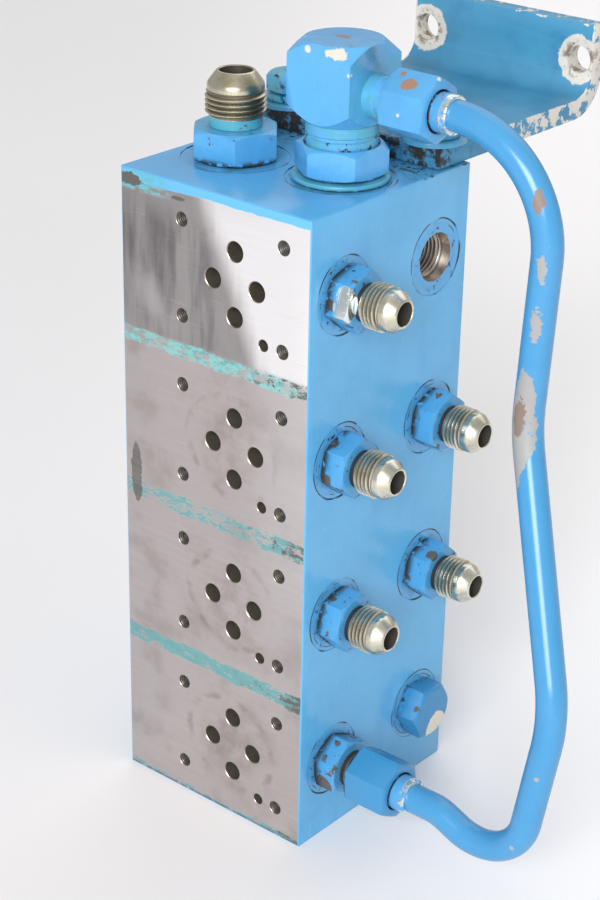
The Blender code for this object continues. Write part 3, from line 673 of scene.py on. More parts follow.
def valve_face():
    finish = Finish("ground_valve_face")
    grain = finish.noise(0.32, 3, 0.6, (0, 0, 0), (0.012, 1, 1))
    coarse = finish.noise(1.4, 2, 0.5, (3, 0, 0), (0.012, 1, 1))
    cloud = finish.noise(17, 3, 0.55, (1, 0, 4))
    upright = finish.noise(7, 4, 0.6, (4, 0, 8), (1, 1, 0.16))
    colour = finish.mix((0.47, 0.425, 0.418), (0.60, 0.555, 0.55), grain * 0.5 + coarse * 0.5)
    colour = finish.mix(colour, (0.33, 0.285, 0.27), cloud.fade(0.46, 0.74) * 0.55)
    rough = 0.3 + grain * 0.12 + cloud * 0.08
    station = finish.z / PITCH_MM
    fold = finish.z - station.sum("FLOOR", station) * PITCH_MM - PITCH_MM / 2
    oval = finish.distance((finish.x - 8) * 0.95, fold)
    ring = (oval - 17.0 + (cloud - 0.5) * 5).size().fade(1.9, 0.3)
    stain = ring * finish.noise(8, 3, 0.6, (0, 5, 0)).fade(0.42, 0.7)
    colour = finish.mix(colour, (0.27, 0.22, 0.19), stain * 0.5)
    halo = oval.fade(16, 7) * finish.noise(6, 4, 0.65, (6, 0, 0)).fade(0.35, 0.7)
    colour = finish.mix(colour, (0.30, 0.25, 0.225), halo * 0.45)
    top_station = finish.z.fade(162.5, 165.5)
    # The slanted edge between the painted reflection on the right of the top station and its darker upper left.
    reflection_edge = finish.x - (205 - finish.z) * 0.45 + (upright - 0.5) * 9
    # The upper left of the top station is painted darker: partly a handling smear, partly painted shade beside
    # the painted reflection.
    smear_and_shade = top_station * reflection_edge.fade(4, -8)
    colour = finish.mix(colour, (0.36, 0.345, 0.345), smear_and_shade * 0.8)
    streaks = upright.fade(0.36, 0.68) * (0.6 + grain * 0.5) * smear_and_shade * finish.z.fade(212, 198)
    colour = finish.mix(colour, (0.13, 0.12, 0.125), streaks * 0.8)
    rubbed = finish.distance((finish.x + 25) * 1.3 + (finish.z - 176) * 0.6, finish.z - 176)
    pale = (rubbed + (cloud - 0.5) * 10).fade(13, 2) * (0.25 + upright * 0.6)
    colour = finish.mix(colour, (0.60, 0.58, 0.58), pale.least(1) * top_station)
    # Painted reflection: the right of the top station is painted almost white, as a light reflected in the
    # ground metal.
    painted_reflection = top_station * reflection_edge.fade(-6, 6) * (0.82 + grain * 0.25)
    colour = finish.mix(colour, (1.0, 0.99, 1.0), painted_reflection)
    rough = rough - painted_reflection * 0.08
    # A fainter painted reflection: the right of the stations below is painted lighter, more so higher up.
    painted_reflection_below = finish.x.fade(6, 34) * finish.z.fade(166, 162) * finish.z.fade(20, 140) * 0.35
    colour = finish.mix(colour, (0.78, 0.76, 0.76), painted_reflection_below)
    scratch_field = finish.noise(0.6, 2, 0.5, (9, 0, 0), (0.05, 1, 1)).fade(0.66, 0.74)
    colour = finish.mix(colour, (0.72, 0.69, 0.68), scratch_field * 0.2)
    bands = teal_band(finish, 161.8, 2.5, 0.46, 1.0)
    for band in ((107.8, 3.0, 0.48, 4.0), (53.8, 2.7, 0.40, 7.0), (0.9, 1.1, 0.47, 9.0)):
        bands = bands.most(teal_band(finish, *band))
    wear = finish.noise(2.2, 4, 0.7, (2, 2, 2), (0.7, 1, 1.5))
    teal_shade = finish.mix((0.15, 0.42, 0.41), (0.08, 0.26, 0.28), wear.fade(0.45, 0.62))
    teal_shade = finish.mix(teal_shade, (0.065, 0.23, 0.245), finish.z.fade(130, 112) * 0.8)
    colour = finish.mix(colour, teal_shade, bands * 0.92)
    lip = finish.z - (finish.noise(7, 3, 0.6, (5, 5, 0)) - 0.5) * 1.1 - finish.x.fade(-34, 0)
    blue = lip.fade(211.6, 211.9)
    colour = finish.mix(colour, AZURE, blue)
    low_edge = finish.z.fade(208.6, 210.2) * finish.x.fade(-14, -26) * wear.fade(0.42, 0.5)
    colour = finish.mix(colour, (0.10, 0.37, 0.42), low_edge)
    blue = blue.most(low_edge)
    chips = finish.noise(2.6, 4, 0.7, (0, 8, 0), (0.8, 1, 1)).fade(0.57, 0.62)
    dark_chips = spot((-34.0, -38, 212.4), 3.0, 2.4, 2.0, 2.5, (0.55, 1, 1.5))(finish)
    dark_chips = dark_chips.most(spot((-14.0, -38, 210.6), 1.2, 0.9, 3.0, 2, (0.45, 1, 1.6))(finish))
    band_chips = (chips + finish.x.fade(24, 34) * wear).fade(0.3, 0.6) * finish.x.fade(4, 24)
    dark_chips = dark_chips.most(bands * band_chips)
    gouge = spot((-33.4, -38, 114), 4.4, 2.4, 5.0, 4, (1.9, 1, 0.40))(finish)
    dark_chips = dark_chips.most(gouge * (0.7 + coarse * 0.4).least(1))
    foot_chips = finish.noise(4, 3, 0.7, (6, 6, 0)).fade(0.42, 0.5)
    dark_chips = dark_chips.most(finish.z.fade(1.6, 0.5) * foot_chips)
    colour = finish.mix(colour, DARK_STEEL, dark_chips)
    paint = bands.most(blue)
    bare = 1 - paint.most(dark_chips)
    height = grain * 0.3 + paint * 0.7 - dark_chips * 0.6 - scratch_field * 0.1
    normal = finish.bump(height, 0.25, 0.12)
    return finish.end(colour, rough + paint * 0.12 + dark_chips * 0.25, bare * 0.96, normal)


# %% [markdown]
# ## Bare metals
#
# Three bare metals show. Drilled and tapped holes are bright where the cutter passed, and further in
# they are painted dark, as shade. The fittings' threads and noses are zinc plated with a pale yellow
# passivation, whose tint drifts from silver to olive gold. Between the thread's crests the plating is
# rougher and painted darker, as shade.

# %% Bored steel and zinc


def bored_steel(name="bored_steel", tint=(0.46, 0.41, 0.36), oil=0.5, metal=1.0):
    finish = Finish(name)
    rings = finish.noise(0.7, 2, 0.5)
    film = finish.noise(3.5, 4, 0.65, (2, 0, 0))
    colour = finish.mix(tint, (0.12, 0.08, 0.05), film.fade(0.45, 0.75) * oil)
    return finish.end(colour, 0.24 + rings * 0.16 + film * 0.1, metal, finish.bump(rings, 0.2, 0.08))


def yellow_zinc(name, bright, gold, seed, root=None):
    """Passivated zinc. root is a function of the finish that says how far down in a thread it is, where the
    plating is painted darker, as shade.
    """
    finish = Finish(name)
    drift = finish.noise(6, 2, 0.5, (seed, 0, 0))
    fine = finish.noise(1.1, 4, 0.7, (0, seed, 0))
    colour = finish.mix(bright, gold, (drift * 0.7 + fine * 0.5).fade(0.35, 0.85))
    stains = finish.noise(1.9, 4, 0.7, (0, 0, seed)).fade(0.62, 0.72)
    colour = finish.mix(colour, (0.20, 0.12, 0.10), stains * 0.6)
    rough = 0.2 + fine * 0.16 + stains * 0.2
    # Painted shade: the plating is darkened down in the thread's roots, and is rougher there.
    if root:
        share = root(finish)
        colour = finish.mix(colour, (0.13, 0.11, 0.085), share * 0.75)
        rough = rough + share * 0.3
    return finish.end(colour, rough, 1.0, finish.bump(fine, 0.15, 0.08))


# %% [markdown]
# ## The block
#
# The block is a cube stretched to size, with its edges broken by a fine bevel. All its holes are
# turned cutters, joined into one object and taken away in one Boolean.

# %% Block cutters
PAD_LEFT, PAD_ABOVE = -12.7 * MM, 15.5 * MM  # the upper left fixing hole, from a station's centre
FIXINGS = [(0, 0), (40.5, -0.75), (40.5, 31.75), (0, 31.0)]
PORTS = [(21.5, 25.9), (21.5, 5.1), (12.7, 15.5), (30.2, 15.5)]
PIN_HOLE = (33.0, 31.75)
INTO_FRONT = Matrix.Rotation(-pi / 2, 4, "X")  # turns a cutter's own +Z to +Y
INTO_SIDE = Matrix.Rotation(-pi / 2, 4, "Y")  # and this to -X
INTO_TOP = Matrix.Rotation(pi, 4, "X")  # and this to -Z
BORED = bored_steel()
# Painted shade with some oil: further into the holes, and in the fittings' throats, the bore metal is painted
# darker.
SHADED_BORE = bored_steel("shaded_deep_bore", (0.17, 0.155, 0.125), 0.6, 0.55)
SHADED_THROAT = bored_steel("shaded_fitting_throat", (0.10, 0.095, 0.085), 0.4, 0.5)


def pads(*holes):
    """Where holes of the valve pattern open at every station, from millimetres right and down."""
    places = [(PAD_LEFT + right * MM, BLOCK_LOW.y, height + PAD_ABOVE - down * MM)
              for height in STATION_HEIGHTS for right, down in holes]
    return [Matrix.Translation(place) @ INTO_FRONT for place in places]


def drill(radius, depth, broken):
    """A cutter in millimetres for a hole from height 0 upwards, with the edge of its mouth broken."""
    return lathe("drill", outline_at(0, [(0, -1), (radius + broken, -1), (radius + broken, 0), (radius, broken),
                                         (radius, depth), (0, depth + radius * 0.6)]), 40)


def port_cutter(seat, mouth, bore, depth):
    """The cutter of a port in millimetres: seat, sealing cone, and the bore at the thread's root."""
    return lathe("port", outline_at(0, [(0, -1), (seat, -1), (seat, 0.25), (mouth, 0.25), (mouth - 0.55, 2.8),
                                        (bore, 3.3), (bore, depth), (0, depth + 3)]), 72)


def repeat(original, places):
    """Copies of one object, each moved to its place, joined into one."""
    copies = []
    for place in places:
        twin = original.copy()
        twin.data = original.data.copy()
        bpy.context.collection.objects.link(twin)
        copies.append(put(twin, place))
    bpy.data.objects.remove(original)
    return join(*copies)


side_ports = [Matrix.Translation((FACE, y, z)) @ INTO_SIDE for z in STATION_HEIGHTS for y in (-COLUMN, COLUMN)]
OPEN_PORT = side_ports[1]
cutters = join(
    repeat(drill(3.18, 34, 0.22), pads(*PORTS)),
    repeat(drill(2.3, 14, 0.12), pads(*FIXINGS)),
    repeat(drill(1.85, 6, 0.15), pads(PIN_HOLE)),
    repeat(port_cutter(12.3, 7.85, 7.1, 13.5), side_ports),
    repeat(port_cutter(17.2, 11.95, 10.2, 15), [above(node, TOP) @ INTO_TOP for node in TOP_PORTS]),
    repeat(drill(4.9, 18, 0.3), [above(node, TOP) @ INTO_TOP for node in BOLTS]),
    repeat(drill(7.6, 12, 0.8), [above(node, 0) for node in ("tank_gallery_plug", "pressure_gallery_plug")]))

# %% Cut the block
block = box("block", (BLOCK_LOW + BLOCK_HIGH) / 2, BLOCK_HIGH - BLOCK_LOW)
edit(block)
bpy.ops.mesh.select_all(action="SELECT")
bpy.ops.mesh.bevel(offset=0.45 * MM, segments=3)
leave()
combine(block, cutters, "DIFFERENCE")
coat(block, block_paint(), valve_face(), BORED, SHADED_BORE)
print("block:", len(block.data.polygons), "faces")

# %% [markdown]
# The Boolean leaves every face with a normal and a middle, which is all that is needed to hand
# out the finishes: faces that look forwards at the front are ground, those on the outside are
# painted, and those further in are bored metal. The rings of the seats at the side stay painted.

# %% Hand out the block's finishes
PAINTED, GROUND, BRIGHT, SHADED = range(4)  # in the order in which the block got its finishes


def block_finish(centre, normal):
    shallow = 0.6 * MM
    if normal.y < -0.999 and centre.y < BLOCK_LOW.y + 0.01 * MM:
        return GROUND
    at_side = centre.x > FACE - shallow
    outside = (at_side or centre.x < BLOCK_LOW.x + shallow or centre.z > TOP - shallow
               or centre.z < shallow or centre.y > BLOCK_HIGH.y - shallow)
    if centre.y < BLOCK_LOW.y + shallow and not outside:
        if abs(normal.y) > 0.6 and abs(centre.x) > 37.5 * MM:
            return GROUND
        return BRIGHT if normal.y < -0.5 else SHADED
    from_port_axis = Vector((centre.y, centre.z)) - OPEN_PORT.translation.yz
    if outside and not (at_side and from_port_axis.length < 9.2 * MM):
        return PAINTED
    # Faces further into the holes take the darker bore metal, which is painted shade.
    return SHADED if centre.y > BLOCK_LOW.y + 1.5 * MM and centre.x < FACE - 14 * MM else BRIGHT


for face in block.data.polygons:
    face.material_index = block_finish(face.center, face.normal)
smooth(block, 25)

# %% Threads inside the open holes
port_thread = put(thread("open_port_thread", 6.45, 7.1, 1.411, 3.4, 13.2, 64), OPEN_PORT)
screw_threads = repeat(thread("screw_hole_thread", 1.9, 2.3, 0.8, 0.5, 10, 24), pads(*FIXINGS))
join(block, smooth(coat(port_thread, BORED), 40), smooth(coat(screw_threads, SHADED_THROAT), 40))
stand_in(block, "manifold_block")

# %% [markdown]
# ## The side adapters
#
# Each adapter is one turned bar with a hexagon left on it: a screwed end inside the block, the
# hexagon, a neck, a thread for the hose nut and a nose with a 37 degree cone that the hose seals
# on. The hexagons were painted over; the threads were masked by caps, so their plating shows.

# %% Adapter
FLARE = radians(37)
SMALL_HEX, LARGE_HEX = 17.46 * MM, 25.4 * MM  # across flats


# Where the thread roots lie, whose plating is painted darker as shade.
def side_root_shade(finish):
    reach = finish.x - FACE_MM
    return from_port(finish).fade(6.85, 6.35) * reach.fade(10.0, 10.4) * reach.fade(17.7, 17.4)


def top_root_shade(finish):
    centre = middle("top_adapter") / MM
    reach = finish.z - TOP_MM
    away = finish.distance(finish.x - centre.x, finish.y - centre.y)
    return away.fade(9.1, 8.5) * reach.fade(13.4, 13.8) * reach.fade(21.8, 21.4)


PALE_ZINC = yellow_zinc("pale_zinc", (0.80, 0.78, 0.70), (0.58, 0.54, 0.40), 1.0, side_root_shade)
OLIVE_ZINC = yellow_zinc("olive_zinc", (0.62, 0.59, 0.49), (0.42, 0.37, 0.22), 4.0, top_root_shade)


def flare_outline(neck, hex_top, thread_low, thread_high, root, nose, lip, tip, throat, foot):
    """A fitting's outline from millimetres: through its hexagon, up to its nose, down its bore."""
    shoulder = tip - (nose - lip) / tan(FLARE)
    outline = outline_at(0, [
        (throat, foot), (neck - 0.8, foot), (neck - 0.8, hex_top - 0.4), (neck, hex_top),
        (neck, thread_low - 0.6), (root, thread_low), (root, thread_high - 0.4), (nose, thread_high),
        (nose, shoulder), (lip, tip), (throat + 0.25, tip), (throat, tip - 0.3)])
    outline = rounded(rounded(outline, 9, 0.45 * MM), 8, 0.8 * MM)
    return outline + outline[:1]


def hand_out(obj, painted_below, hex_inside, paint, throat, throat_top, plating):
    """Paints a fitting up to a height, outside a radius; lines its throat; plates the rest."""
    coat(obj, paint, SHADED_THROAT, plating)
    for face in obj.data.polygons:
        radius, height = Vector((face.center.x, face.center.y)).length, face.center.z
        if height < painted_below * MM and (radius > hex_inside * MM or face.normal.z > 0.9):
            face.material_index = 0
        else:
            face.material_index = 1 if radius < throat * MM and height < throat_top * MM else 2


def adapter(name, paint, plating, turn):
    """A small straight adapter, from the block's face upwards."""
    body = lathe(name, flare_outline(6.0, 8.5, 10.6, 17.5, 6.15, 6.6, 4.25, 22.5, 3.75, -9.9))
    ridge = thread("ridge", 7.14, 6.15, 1.411, 10.3, 17.5)
    hexa = soften(hexagon("hex", SMALL_HEX, 0.05 * MM, 8.3 * MM, turn, (1.02, 0.98)), 0.25 * MM)
    join(smooth(body, 25), smooth(ridge, 40), hexa)
    hand_out(body, 9.9, 4.5, paint, 3.8, 22.0, plating)
    return body


SIDE_HEX = FACE_MM + 8.3  # where the hexagons end, along X in millimetres


def side_grime_and_dark_neck(seed, amount):
    """The neck behind the thread painted almost black, and dirt round the foot of the hexagon."""
    neck = along("x", SIDE_HEX + 0.05, SIDE_HEX + 0.35)
    foot = both(along("x", FACE_MM + 3.6, FACE_MM + 0.4), specks(3.0, 0.49 - amount, 0.57 - amount, seed))
    spots = specks(1.6, 0.66 - amount * 0.3, 0.69 - amount * 0.3, seed + 3)
    return either(both(neck, specks(4, 0.2, 0.35, seed)), foot, spots)


# Each adapter's hexagon turn in degrees, how dirty it is, and its dark chips, in millimetres:
# how far out from the face, across and up, and the radius.
ADAPTERS = {
    "front_adapter_1": (17.5, 0.08, [(2.2, -8.6, 0.0, 1.9), (7.0, -6.5, -6.5, 1.4)]),
    "front_adapter_2": (21, 0.08, [(2.0, -8.5, -3.0, 2.4), (6.4, -7.6, -5.0, 1.7), (1.4, -5.0, 8.0, 1.5)]),
    "front_adapter_3": (13, 0.08, [(4.6, -8.6, -1.2, 1.1), (1.2, -6.5, -6.0, 1.6), (2.0, -4.0, 8.4, 1.2)]),
    "rear_adapter_2": (24, 0.06, [(7.0, -5.5, -6.5, 1.6), (0.8, 1.5, 8.8, 1.6)]),
    "rear_adapter_3": (18, 0.09, [(7.2, -4.0, 7.6, 2.0), (1.6, -8.4, -1.0, 1.2)]),
    "tube_adapter": (36, 0.14, [(3.6, -7.6, -4.6, 3.6), (3.4, -7.4, 5.0, 1.2), (4.6, -2.5, 8.8, 1.0)]),
}
# Paint came off one flat of the first hexagon.
BARE_FLAT = spot((FACE_MM + 6.6, -COLUMN / MM - 8.6, STATION_HEIGHTS[0] / MM + 0.9), 4.6, 0.7, 1.0, 3,
                 (1.25, 1, 0.78))
for seed, (node, (turn, dirty, knocks)) in enumerate(ADAPTERS.items()):
    at = middle(node)
    dark = [spot((FACE_MM + out, at.y / MM + across, at.z / MM + up), size, 1.3, seed + size, 2.2)
            for out, across, up, size in knocks]
    chips = [(DARK_STEEL, either(specks(5, 0.62, 0.64, seed + 1.5), *dark)),
             (PRIMER, specks(4, 0.70, 0.72, seed + 9))]
    # The adapters' paint is darkened by a share of painted shade.
    paint = painted(node + "_paint", seed + 1.0, side_grime_and_dark_neck(seed, dirty),
                    along("x", SIDE_HEX + 0.1, SIDE_HEX + 0.4), chips, None if seed else BARE_FLAT, painted_shade=0.55)
    # The tube adapter's thread and nose lie in the shade of its nut, so they take the dark bore metal: painted
    # shade.
    plating = SHADED_BORE if node == "tube_adapter" else PALE_ZINC
    piece = adapter(node.replace("adapter", "fitting"), paint, plating, turn)
    stand_in(put(piece, beside(at.y, at.z, FACE)), node)

# %% [markdown]
# ## The port plug
#
# The unused port at the bottom of the rear column is closed by a plain plug with a hexagon head.
# Its outer face lost a large flake of paint down to the cream primer.

# %% Plug
plug_at = middle("port_plug")
plug_y, plug_z, plug_end = plug_at.y / MM, plug_at.z / MM, span("port_plug", 0)[1]
port_cap = hexagon("port_cap", SMALL_HEX, 0.05 * MM, plug_end - FACE, -3, (1.02, 0.94))
plug_stem = lathe("plug_stem", outline_at(0, [
    (0, -9.9), (6.1, -9.9), (6.1, -3.3), (5.6, -2.9), (5.6, 1), (0, 1)]))
join(soften(port_cap, 0.25 * MM), smooth(plug_stem))
flake = both(along("x", plug_end / MM - 1.2, plug_end / MM - 0.6),
             spot((46, plug_y + 2.2, plug_z - 7.0), 5.6, 2.0, 3.0, 4))
plug_grime = both(along("x", FACE_MM + 2.4, FACE_MM + 0.3), specks(3, 0.5, 0.56, 4))
plug_chips = [(PRIMER, flake), (DARK_STEEL, spot((45, plug_y - 7.0, plug_z + 3.6), 1.3, 0.9))]
# The plug lies in shadow, so its paint takes the full painted shade.
coat(port_cap, painted("port_cap_paint", 12.0, plug_grime, None, plug_chips, painted_shade=1.0))
stand_in(put(port_cap, beside(plug_at.y, plug_at.z, FACE)), "port_plug")

# %% [markdown]
# ## The top adapter
#
# The same design two sizes up. Its plating has turned a darker olive gold than the others'.

# %% Top adapter
top_body = lathe("top_fitting", flare_outline(8.3, 10.3, 13.9, 21.6, 8.4, 8.9, 5.9, 27.4, 5.15, -10.5))
top_ridge = thread("top_ridge", 9.52, 8.4, 1.5875, 13.7, 21.6, 60)
top_hex = soften(hexagon("top_hex", LARGE_HEX, 0.05 * MM, 10.1 * MM, -19.1, (0.97, 0.985)), 0.3 * MM)
join(smooth(top_body, 25), smooth(top_ridge, 40), top_hex)
top_grime = either(both(along("z", TOP_MM + 2.6, TOP_MM + 0.4), specks(3.0, 0.47, 0.53, 2)),
                   specks(1.6, 0.68, 0.7, 6))
top_paint = painted("top_fitting_paint", 20.0, top_grime, along("z", TOP_MM + 9.9, TOP_MM + 10.4),
                    [(DARK_STEEL, specks(4.5, 0.64, 0.66, 8))])
hand_out(top_body, 12.4, 6.0, top_paint, 5.2, 26.6, OLIVE_ZINC)
stand_in(put(top_body, above("top_adapter", TOP)), "top_adapter")

# %% [markdown]
# ## The elbow
#
# The elbow is cut from square bar. Its top and bottom were turned, which leaves a round flat and
# four sloping arcs where the corners were, so a box is intersected with a turned blank. Below it
# are the neck, a locknut that holds it at its angle, and a washer on the seal.

# %% Elbow
elbow_low, elbow_high = (Vector(corner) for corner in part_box("elbow_body"))
elbow_at = middle("elbow_washer")
ELBOW_PLACE = above("elbow_washer", TOP)
BAR = elbow_high.y - elbow_low.y
BAR_LOW = TOP + 17.9 * MM
OUTLET = middle("upper_tube_nut").z
bar_low, bar_high = BAR_LOW - TOP, elbow_high.z - TOP
elbow = box("elbow", (0, 0, (BAR_LOW + elbow_high.z) / 2 - TOP), (BAR, BAR, elbow_high.z - BAR_LOW))
wide, flat_top, flat_low = BAR * 0.72, 12.0 * MM, 11.4 * MM
elbow_blank = lathe("elbow_blank", [
    (0, bar_low), (flat_low, bar_low), (wide, bar_low + (wide - flat_low) * tan(radians(43))),
    (wide, bar_high - (wide - flat_top) * tan(radians(41))), (flat_top, bar_high), (0, bar_high)], 96)
soften(combine(elbow, elbow_blank, "INTERSECT"), 0.5 * MM, 25, 3)
stem = lathe("elbow_stem", outline_at(0, [
    (0, -10.5), (9.8, -10.5), (9.8, -3.3), (9.2, -2.9), (9.2, 0.3), (11.1, 0.3), (11.1, 13.2), (10.55, 13.6),
    (10.55, 14.4), (11.1, 14.8)]) + outline_at(bar_low, [(11.1, 1.5), (0, 1.5)]), 72)
outlet = lathe("elbow_outlet", [(0, 8 * MM)] + outline_at(BAR / 2, [
    (6.9, -1), (6.5, 0.5), (6.5, 3.4), (6.2, 3.7), (6.2, 5.4), (7.14, 6.1), (7.14, 12.5), (6.4, 12.9)])
    + outline_at(elbow_high.x - elbow_at.x, [(6.4, -3.2), (4.1, 0), (0, 0)]), 56)
put(smooth(outlet, 25), beside(0, OUTLET - TOP))
join(elbow, smooth(stem, 25), outlet)
EX, EY, ET = elbow_at.x / MM, elbow_at.y / MM, elbow_high.z / MM  # its axis and its top face
elbow_grime = either(both(along("z", TOP_MM + 14.2, TOP_MM + 13.4), specks(3, 0.57, 0.64, 3)),
                     specks(1.3, 0.70, 0.72, 2))
elbow_teal = either(both(along("z", TOP_MM + 18.8, TOP_MM + 17.6), specks(5, 0.3, 0.6, 1)),
                    both(along("x", EX + 11.2, EX + 12.6), specks(5, 0.35, 0.6, 7)))
elbow_flakes = either(spot((EX + 6.4, EY - 11.6, ET - 1.9), 1.8, 1.6, 1.0, 1.6, (0.5, 0.5, 1.1)),
                      spot((EX - 4.0, EY - 12, ET - 1.9), 1.1, 0.6, 2.0, 2),
                      spot((EX + 11.4, EY - 11.4, ET - 7.0), 0.8, 0.5, 4.0, 2))
top_scrape = spot((EX - 1.0, EY + 0.5, ET), 1.5, 1.2, 6.0, 2, (0.5, 1, 1))
coat(elbow, painted("elbow_paint", 31.0, elbow_grime, elbow_teal,
                    [(PRIMER, elbow_flakes), ((0.22, 0.19, 0.19), top_scrape)], painted_shade=0.22))
stand_in(put(elbow, ELBOW_PLACE), "elbow_body")

# %% Elbow washer and locknut
low, high = (height - TOP for height in span("elbow_washer", 2))
outline = rounded(rounded(ring_outline(11.4, 15.2, low, high), 2, 0.5 * MM), 1, 0.5 * MM)
washer = lathe("seal_washer", outline, 96)
coat(washer, painted("washer_paint", 40.0, both(along("z", TOP_MM + 0.7, TOP_MM + 0.1), specks(2.5, 0.4, 0.5)),
                     specks(4, 0.3, 0.55, 5)))
stand_in(put(smooth(washer, 40), ELBOW_PLACE), "elbow_washer")
low, high = (height - TOP for height in span("elbow_locknut", 2))
locknut = hexagon("locknut", LARGE_HEX, low, high, -4.7, (0.97, 0.96))
nut_bore = lathe("nut_bore", outline_at(low, [(0, -1), (12.3, -1), (11.3, 0.6)])
                 + outline_at(high, [(11.3, -0.6), (12.3, 1), (0, 1)]), 72)
soften(combine(locknut, nut_bore, "DIFFERENCE"), 0.3 * MM)
low, high = low / MM + TOP_MM, high / MM + TOP_MM
locknut_grime = either(both(along("z", low + 0.9, low + 0.2), specks(2, 0.42, 0.5, 2)),
                       specks(1.4, 0.70, 0.72, 5))
coat(locknut, painted("locknut_paint", 44.0, locknut_grime, along("z", high, high + 0.4),
                      [(PRIMER, spot((EX + 13.5, EY - 6.0, TOP_MM + 7.0), 1.0, 0.6, 1.0, 2))], painted_shade=0.15))
stand_in(put(locknut, ELBOW_PLACE), "elbow_locknut")

# %% [markdown]
# ## The jumper tube
#
# The tube is rigid steel, bent cold in six places, so its route is straight runs joined by arcs.
# A curve with a round bevel makes it. Both ends run into their sleeves.

# %% Tube route
TUBE_RADIUS = 4.7625 * MM
ELBOW_Y = elbow_at.y
LOWEST = STATION_HEIGHTS[-1]
TUBE_CORNERS = [  # where the straight runs would meet, and the radius of each bend
    ((elbow_high.x + MM, ELBOW_Y, OUTLET), 0),
    ((95.5 * MM, ELBOW_Y, OUTLET), 34 * MM),
    ((91.0 * MM, ELBOW_Y, 155.0 * MM), 30 * MM),
    ((121.5 * MM, -COLUMN, 77.7 * MM), 37 * MM),
    ((111.8 * MM, -COLUMN, 20.4 * MM), 18 * MM),
    ((91.8 * MM, -COLUMN, 23.0 * MM), 14 * MM),
    ((82.5 * MM, -COLUMN, LOWEST), 14 * MM),
    ((span("tube_adapter", 0)[1] + MM, -COLUMN, LOWEST), 0),
]


def rounded_route(corners, step=3.0):
    """Straight runs joined by arcs, with a point every few degrees of bend."""
    route = [Vector(corners[0][0])]
    for (before, _), (corner, radius), (after, _) in zip(corners, corners[1:], corners[2:]):
        corner = Vector(corner)
        back, ahead = (Vector(before) - corner).normalized(), (Vector(after) - corner).normalized()
        half_angle = back.angle(ahead) / 2
        centre = corner + (back + ahead).normalized() * radius / sin(half_angle)
        first = corner + back * radius / tan(half_angle) - centre
        last = corner + ahead * radius / tan(half_angle) - centre
        sweep = first.angle(last)
        count = max(4, round(degrees(sweep) / step))
        for k in range(count + 1):
            spoke = first * sin((1 - k / count) * sweep) + last * sin(k / count * sweep)
            route.append(centre + spoke / sin(sweep))
    route.append(Vector(corners[-1][0]))
    return route


route = rounded_route(TUBE_CORNERS)
fresh()
bpy.ops.curve.primitive_nurbs_path_add()
path = named("tube_path")
path.data.splines.clear()
spline = path.data.splines.new("POLY")
spline.points.add(len(route) - 1)
for point, where in zip(spline.points, route):
    point.co = (*where, 1)
path.location = (0, 0, 0)
path.data.bevel_depth = TUBE_RADIUS
path.data.bevel_resolution = 10
path.data.use_fill_caps = True
choose(path)
bpy.ops.object.convert(target="MESH")
tube = named("tube")
edit(tube)
bpy.ops.mesh.select_all(action="SELECT")
tidy_mesh()
leave()
smooth(tube, 40)
print("tube:", len(route), "points on its route")

# %% Tube finish
RUB, RUB_BROWN = (0.31, 0.31, 0.31), (0.22, 0.16, 0.135)
tube_grime = either(specks(1.0, 0.74, 0.76, 2), both(along("x", 54, 52.6), specks(2, 0.3, 0.5)))
long_rub = both(spot((92, -6.5, 155), 6.6, 3.6, 2.0, 5, (1.3, 1.3, 0.36)), specks(5, 0.3, 0.42, 3))
brown_rubs = either(spot((88.5, -5, 239), 1.8, 2.0, 4.0, 3), spot((92, -5, 226), 1.8, 2.2, 5.0, 3, (1, 1, 0.5)),
                    spot((91, -6, 160), 2.6, 2.6, 8.0, 3, (1.2, 1.2, 0.42)))
grey_rubs = either(spot((95, -5.4, 207), 1.5, 2.2, 6.0, 2.5, (1, 1, 0.4)),
                   spot((94.5, -5.4, 190), 1.7, 2.4, 9.0, 2.5, (1, 1, 0.35)),
                   spot((120, -27, 58), 0.9, 1.2, 7.0, 2), spot((113, -27, 30), 0.8, 0.8, 9.0, 2))
coat(tube, painted("tube_paint", 55.0, tube_grime, None,
                   [(RUB, long_rub), (RUB_BROWN, brown_rubs), (RUB, grey_rubs)], painted_shade=0.7))
stand_in(tube, "jumper_tube")

# %% [markdown]
# ## Nuts and sleeves on the tube
#
# A nut pulls the flared tube onto the fitting's cone, and a sleeve backs the flare. Each nut
# turns on its sleeve, so it rides on its own body; the sleeves stay with the tube.

# %% Tube nuts and sleeves


def upper_nut_wear(start, end, y, z):
    """Rust and primer chips on the upper nut, and its dirt."""
    rust = either(spot((start + 8.0, y - 4.8, z + 7.6), 2.2, 1.6, 1.0, 2.5, (0.8, 1, 1)),
                  spot((start + 3.4, y - 1.6, z + 9.2), 0.9, 0.8, 3.0, 2))
    pale = either(spot((start + 7.5, y - 8.8, z - 1.0), 0.5, 0.4, 2.0, 2),
                  spot((end - 1.4, y - 7.4, z + 4.4), 0.7, 0.6, 5.0, 2),
                  spot((end - 0.6, y - 0.4, z + 9.6), 0.7, 0.6, 7.0, 2))
    return [((0.30, 0.17, 0.12), rust), (PRIMER, pale)], specks(1.2, 0.72, 0.74, 4)


def lower_nut_wear(start, end, y, z):
    """A primer chip on the lower nut, and the dirt at its rear end."""
    chips = [(PRIMER, spot((end - 2, y - 4, z - 8.5), 1.8, 1.0, 2.0, 2))]
    return chips, both(along("x", start + 1.0, start + 0.2), specks(2, 0.35, 0.5, 6))


